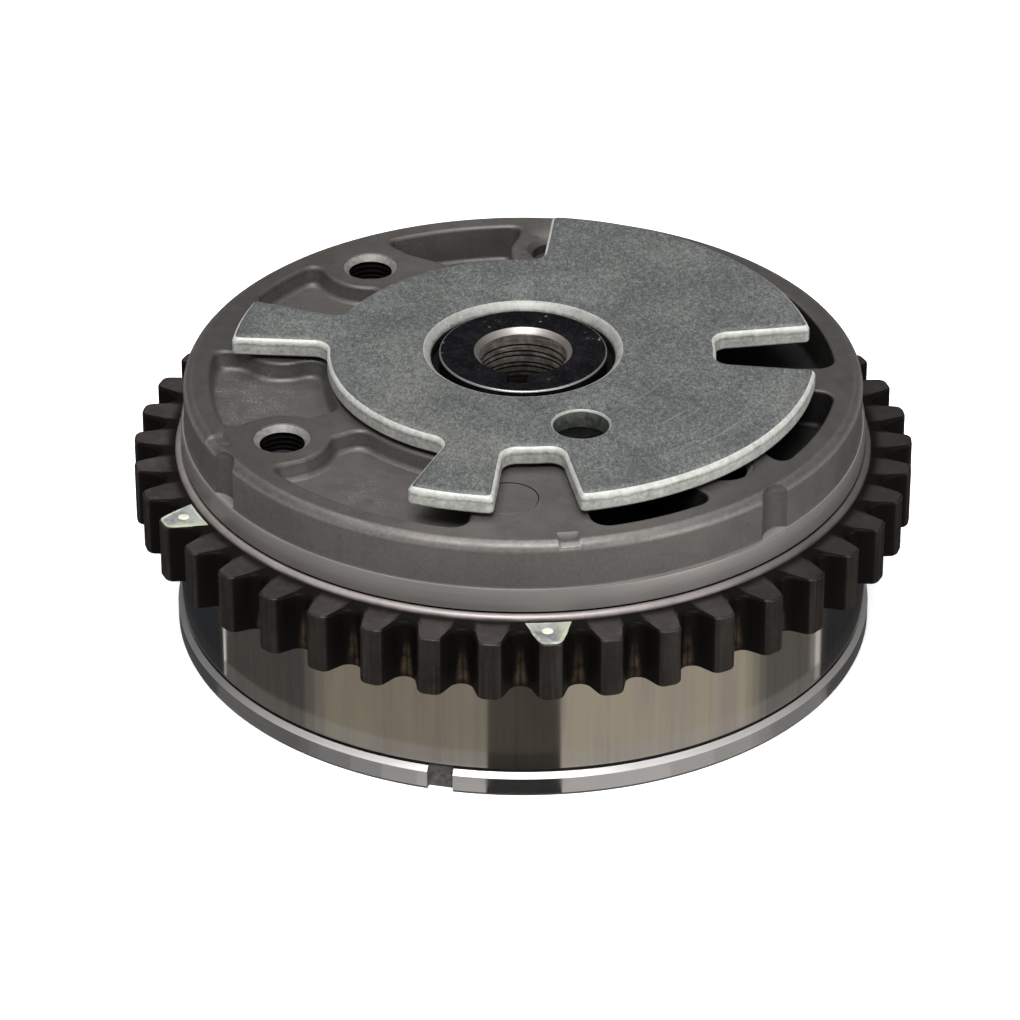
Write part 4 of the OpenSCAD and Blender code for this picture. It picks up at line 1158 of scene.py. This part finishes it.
def wheel():
    b = Builder()
    rt, rv, rb = 1.3, 0.95, 0.4
    fw = Field(f_wheel, 42, 0.2)
    base = max(fw.contours(0.0, 0.36), key=len)
    g = grad(f_wheel, base)
    rows = []
    for t in np.radians([0, 14, 28, 42, 56, 70, 82, 90]):
        rows.append((-rt * (1 - math.sin(t)), WHEEL_Z1 - rv * (1 - math.cos(t)), math.atan2(rv * math.sin(t), rt * math.cos(t))))
    for t in np.radians([90, 65, 40, 15]):
        rows.append((-rb * (1 - math.sin(t)), WHEEL_Z0 + rb * (1 - math.cos(t)), math.pi - t))
    rows.append((-rb, WHEEL_Z0, math.pi))
    loops, norms = [], []
    for d, z, t in rows:
        q = to_level(f_wheel, base + g * d, d, 3)
        gq = grad(f_wheel, q)
        loops.append(np.column_stack([q, np.full(len(q), z)]))
        norms.append(np.column_stack([gq * math.sin(t), np.full(len(q), math.cos(t))]))
    b.strip(loops[:4], norms[:4], True, 0)
    b.strip(loops[3:], norms[3:], True, 1)
    cuts = [(0.0, 0.0, WHEEL_HOLE_R, 1.05, 200), (*SET_XY, SET_R, 0.26, 80)]
    for zz, nn, lp, up in ((WHEEL_Z1, UP, loops[0], True), (WHEEL_Z0, DOWN, loops[-1], False)):
        flat = [lp[:, :2]] + [ring(r + (e if up else 0.2), k, 0, cx, cy)[:, :2] for cx, cy, r, e, k in cuts]
        edge = (-rt if up else -rb) + 0.01

        def keep(x, y):
            ok = f_wheel(x, y) < edge
            for cx, cy, r, e, k in cuts:
                ok &= np.hypot(x - cx, y - cy) > r + (e if up else 0.2) - 0.01
            return ok

        v, t, _ = fill(flat, keep)
        b.patch(np.column_stack([v, np.full(len(v), zz)]), np.tile(nn, (len(v), 1)), t, 0)
    for cx, cy, r, e, k in cuts:
        prof = [(r + e * u, WHEEL_Z1 - e * v) for u, v in ((1, 0), (0.86, 0.04), (0.68, 0.17), (0.44, 0.44), (0.2, 0.74), (0.06, 0.96), (0.0, 1.2))]
        prof += [(r, WHEEL_Z0 + 0.2), (r + 0.06, WHEEL_Z0 + 0.06), (r + 0.2, WHEEL_Z0)]
        b.revolve(prof[:7], around(k), True, 3, 50, (cx, cy))
        # the central hole's wall is near black: painted shadow
        b.revolve(prof[6:], around(k), True, 4 if cx == 0 else 2, 50, (cx, cy))
    return b.make("sensor_wheel", [M_ZTOP, M_ZEDGE, M_ZHOLE, M_ZRIM, M_SEAM_AND_SHADE], "rotor", ("trigger_wheel",))


wheel()


# ---------------------------------------------------------------- lock spring, drawn at one length; the real one shortens as the pin goes in
def lock_coil():
    b = Builder()
    r, wire, z0, z1, turns, k, steps = 2.05, 0.36, 8.1, 24.3, 7, 12, 336
    px, py = at(PIN_PCR, LOCK_A)
    rest = (z1 - z0 - 2 * wire) / (turns - 2.0)
    loops, norms = [], []
    for i in range(steps + 1):
        u = turns * i / steps
        # one closed turn at each end
        z = z0 + wire + rest * min(max(u - 1.0, 0.0), turns - 2.0)
        a = 2 * math.pi * u
        out = np.array([math.cos(a), math.sin(a), 0.0])
        mid = np.array([px, py, z]) + r * out
        q = np.arange(k) * 2 * math.pi / k
        n = np.outer(np.cos(q), out) + np.outer(np.sin(q), [0.0, 0.0, 1.0])
        loops.append(mid + wire * n)
        norms.append(n)
    b.strip(loops, norms)
    for i, sgn in ((0, -1.0), (steps, 1.0)):
        a = 2 * math.pi * turns * i / steps
        t = np.array([-math.sin(a), math.cos(a), 0.0]) * sgn
        b.patch(loops[i], np.tile(t, (k, 1)), [list(range(k))])
    ob = b.make("pin_spring", [M_SPRING], "lock", ("lock_spring",))
    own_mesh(ob)


lock_coil()


# ---------------------------------------------------------------- camera
cam_d = bpy.data.cameras.new("camera")
cam_d.sensor_width = 36.0
cam_d.lens = 174.07
cam_d.shift_x = -0.01282
cam = bpy.data.objects.new("camera", cam_d)
SCENE.collection.objects.link(cam)
cam.location = (0.0, -0.58905, 0.3644)
aim = Vector((0.0, 0.0, 0.01533)) - cam.location
cam.rotation_euler = aim.to_track_quat("-Z", "Y").to_euler()
SCENE.camera = cam

# ---------------------------------------------------------------- floor, reflection cards, lights
SCENE.view_settings.view_transform = "Standard"


def flat_object(name, pts, z, mat):
    me = bpy.data.meshes.new(name)
    me.from_pydata([(x * 0.001, y * 0.001, z * 0.001) for x, y in pts], [], [list(range(len(pts)))])
    me.materials.append(mat)
    ob = bpy.data.objects.new(name, me)
    SCENE.collection.objects.link(ob)
    return ob


fm = Mat("floor_pale", Roughness=0.9, Specular_IOR_Level=0.1)
fm.b.inputs["Emission Strength"].default_value = 0.35
fm.b.inputs["Emission Color"].default_value = (1, 1, 1, 1)
fm.out(fm.ramp(fm.noise(6, 2), [(0.3, (0.9, 0.9, 0.9)), (0.7, (0.93, 0.93, 0.93))]))
floor = flat_object("floor", [(-4000, -4000), (4000, -4000), (4000, 4000), (-4000, 4000)], -0.05, fm.m)


def card_mat(name, col, power=1.0):
    m = bpy.data.materials.new(name)
    m.use_nodes = True
    nt = m.node_tree
    nt.nodes.clear()
    e = nt.nodes.new("ShaderNodeEmission")
    e.inputs["Color"].default_value = tuple(col) + (1.0,)
    e.inputs["Strength"].default_value = power
    o = nt.nodes.new("ShaderNodeOutputMaterial")
    nt.links.new(e.outputs[0], o.inputs["Surface"])
    return m


# Matte cards lie on the studio table round the part, out of the camera's sight, for the polished drum to mirror.
# Each runs between two directions, measured from the front.
CARDS = [
    ("dark_front", -11.6, 12.2, (0.03, 0.028, 0.026), (0.05, 0.046, 0.04), (0.085, 0.077, 0.066)),
    ("beige_right", 12.2, 48.0, (0.55, 0.535, 0.525), (0.46, 0.435, 0.405), (0.455, 0.415, 0.355)),
    ("beige_right_2", 48.0, 64.0, (0.46, 0.448, 0.44), (0.46, 0.435, 0.405), (0.455, 0.415, 0.355)),
    ("beige_right_3", 64.0, 79.0, (0.38, 0.37, 0.363), (0.45, 0.427, 0.398), (0.44, 0.402, 0.345)),
    ("ease_right", 79.0, 82.0, (0.33, 0.322, 0.316), (0.38, 0.362, 0.34), (0.35, 0.322, 0.28)),
    ("ease_right_2", 82.0, 85.0, (0.3, 0.293, 0.287), (0.32, 0.307, 0.29), (0.27, 0.25, 0.22)),
    ("fade_right", 85.0, 88.0, (0.28, 0.274, 0.269), (0.26, 0.251, 0.24), (0.19, 0.18, 0.165)),
    ("grey_right", 88.0, 111.5, (0.23, 0.226, 0.222), (0.2, 0.195, 0.19), (0.13, 0.125, 0.118)),
    ("rise_right", 111.5, 115.0, (0.24, 0.235, 0.23), (0.2, 0.195, 0.19), (0.25, 0.24, 0.225)),
    ("pale_right", 115.0, 118.2, (0.2, 0.195, 0.19), (0.4, 0.39, 0.38), (0.72, 0.7, 0.67)),
    ("dark_right", 118.2, 180.0, (0.08, 0.08, 0.08), (0.04, 0.04, 0.042), (0.03, 0.032, 0.035)),
    ("beige_left", -34.0, -11.6, (0.5, 0.485, 0.475), (0.34, 0.325, 0.3), (0.29, 0.262, 0.222)),
    ("beige_left_2", -46.0, -34.0, (0.4, 0.39, 0.383), (0.34, 0.325, 0.3), (0.29, 0.262, 0.222)),
    ("beige_left_3", -57.0, -46.0, (0.31, 0.303, 0.298), (0.34, 0.325, 0.3), (0.29, 0.262, 0.222)),
    ("beige_left_4", -69.0, -57.0, (0.24, 0.235, 0.231), (0.335, 0.32, 0.296), (0.285, 0.258, 0.22)),
    ("ease_left", -73.0, -69.0, (0.2, 0.196, 0.193), (0.27, 0.26, 0.24), (0.215, 0.197, 0.17)),
    ("fade_left", -77.0, -73.0, (0.17, 0.167, 0.164), (0.22, 0.21, 0.2), (0.14, 0.132, 0.12)),
    ("grey_left", -118.2, -77.0, (0.145, 0.142, 0.139), (0.15, 0.145, 0.14), (0.083, 0.08, 0.077)),
    ("pale_left", -119.8, -118.2, (0.13, 0.127, 0.124), (0.45, 0.44, 0.43), (0.95, 0.93, 0.9)),
    ("dark_left", -180.0, -119.8, (0.07, 0.07, 0.072), (0.04, 0.04, 0.043), (0.028, 0.032, 0.037)),
]
ZONES = ((0.2, 5.3), (5.3, 9.0), (9.0, 140.0))
for name, d0, d1, *cols in CARDS:
    for k, ((r0, r1), col) in enumerate(zip(ZONES, cols)):
        near, far = [], []
        for q in range(13):
            d = math.radians(d0 + (d1 - d0) * q / 12)
            bx, by = 48.2 * math.sin(d / 2), -48.2 * math.cos(d / 2)
            near.append((bx + r0 * math.sin(d), by - r0 * math.cos(d)))
            far.append((bx + r1 * math.sin(d), by - r1 * math.cos(d)))
        tag = "card_%s_%d" % (name, k)
        card = flat_object(tag, near + far[::-1], 0.02, card_mat(tag, col))
        card.visible_camera = card.visible_diffuse = card.visible_shadow = card.visible_transmission = card.visible_volume_scatter = False

# More of them behind the part, under the ends of the others, for what the back of the drum mirrors.
for k, (a0, a1, col) in enumerate(((0, 40, (0.15, 0.145, 0.138)), (40, 64, (0.29, 0.265, 0.228)), (64, 71, (0.07, 0.067, 0.062)),
                                   (71, 112, (0.33, 0.302, 0.258)), (112, 117, (0.55, 0.535, 0.51)),
                                   (117, 142, (0.24, 0.222, 0.193)), (142, 180, (0.12, 0.117, 0.112)))):
    ring = [math.radians(a0 + (a1 - a0) * q / 12) for q in range(13)]
    near = [(48.4 * math.cos(a), 48.4 * math.sin(a)) for a in ring]
    far = [(260.0 * math.cos(a), 260.0 * math.sin(a)) for a in ring]
    tag = "card_back_%d" % k
    card = flat_object(tag, near + far[::-1], 0.01, card_mat(tag, col))
    card.visible_camera = card.visible_diffuse = card.visible_shadow = card.visible_transmission = card.visible_volume_scatter = False

world = bpy.data.worlds.new("studio")
SCENE.world = world
world.use_nodes = True
wt = world.node_tree
bg = next(n for n in wt.nodes if n.type == "BACKGROUND")
tc = wt.nodes.new("ShaderNodeTexCoord")
sx = wt.nodes.new("ShaderNodeSeparateXYZ")
wt.links.new(tc.outputs["Generated"], sx.inputs[0])
wr = wt.nodes.new("ShaderNodeValToRGB")
for e, (p, v) in zip([wr.color_ramp.elements[0], wr.color_ramp.elements[1], wr.color_ramp.elements.new(0.5)],
                     [(0.0, 0.3), (1.0, 0.62), (0.5, 0.26)]):
    e.position = p
    e.color = (v, v, v * 0.99, 1)
wt.links.new(sx.outputs[2], wr.inputs["Fac"])
wt.links.new(wr.outputs["Color"], bg.inputs["Color"])
bg.inputs["Strength"].default_value = 1.0


def area(name, loc, target, size, power, size_y=None):
    d = bpy.data.lights.new(name, "AREA")
    d.energy = power
    d.shape = "RECTANGLE"
    d.size = size
    d.size_y = size_y or size
    o = bpy.data.objects.new(name, d)
    SCENE.collection.objects.link(o)
    o.location = loc
    o.rotation_euler = (Vector(target) - Vector(loc)).to_track_quat("-Z", "Y").to_euler()
    return o


area("key_front", (-0.05, -0.5, 0.95), (0, 0, 0.02), 0.6, 13.0, 0.36)
area("top_soft", (-0.05, 0.32, 1.08), (0, 0, 0.02), 0.9, 6.5, 0.6)
area("fill_right", (0.8, -0.68, 0.27), (0, 0, 0.02), 0.5, 6.0)
area("fill_left", (-0.85, -0.5, 0.4), (0, 0, 0.02), 0.5, 0.9)

# A dark flag stands behind the part, seen in its upward faces only.
flag_me = bpy.data.meshes.new("dark_flag")
flag_me.from_pydata([(-1.4, 0.4, 0.0), (1.4, 0.4, 0.0), (1.4, 0.4, 0.75), (-1.4, 0.4, 0.75)], [], [(0, 1, 2, 3)])
flag_me.materials.append(card_mat("dark_flag", (0.05, 0.05, 0.05)))
flag = bpy.data.objects.new("dark_flag", flag_me)
SCENE.collection.objects.link(flag)
flag.visible_camera = flag.visible_diffuse = flag.visible_shadow = flag.visible_transmission = flag.visible_volume_scatter = False
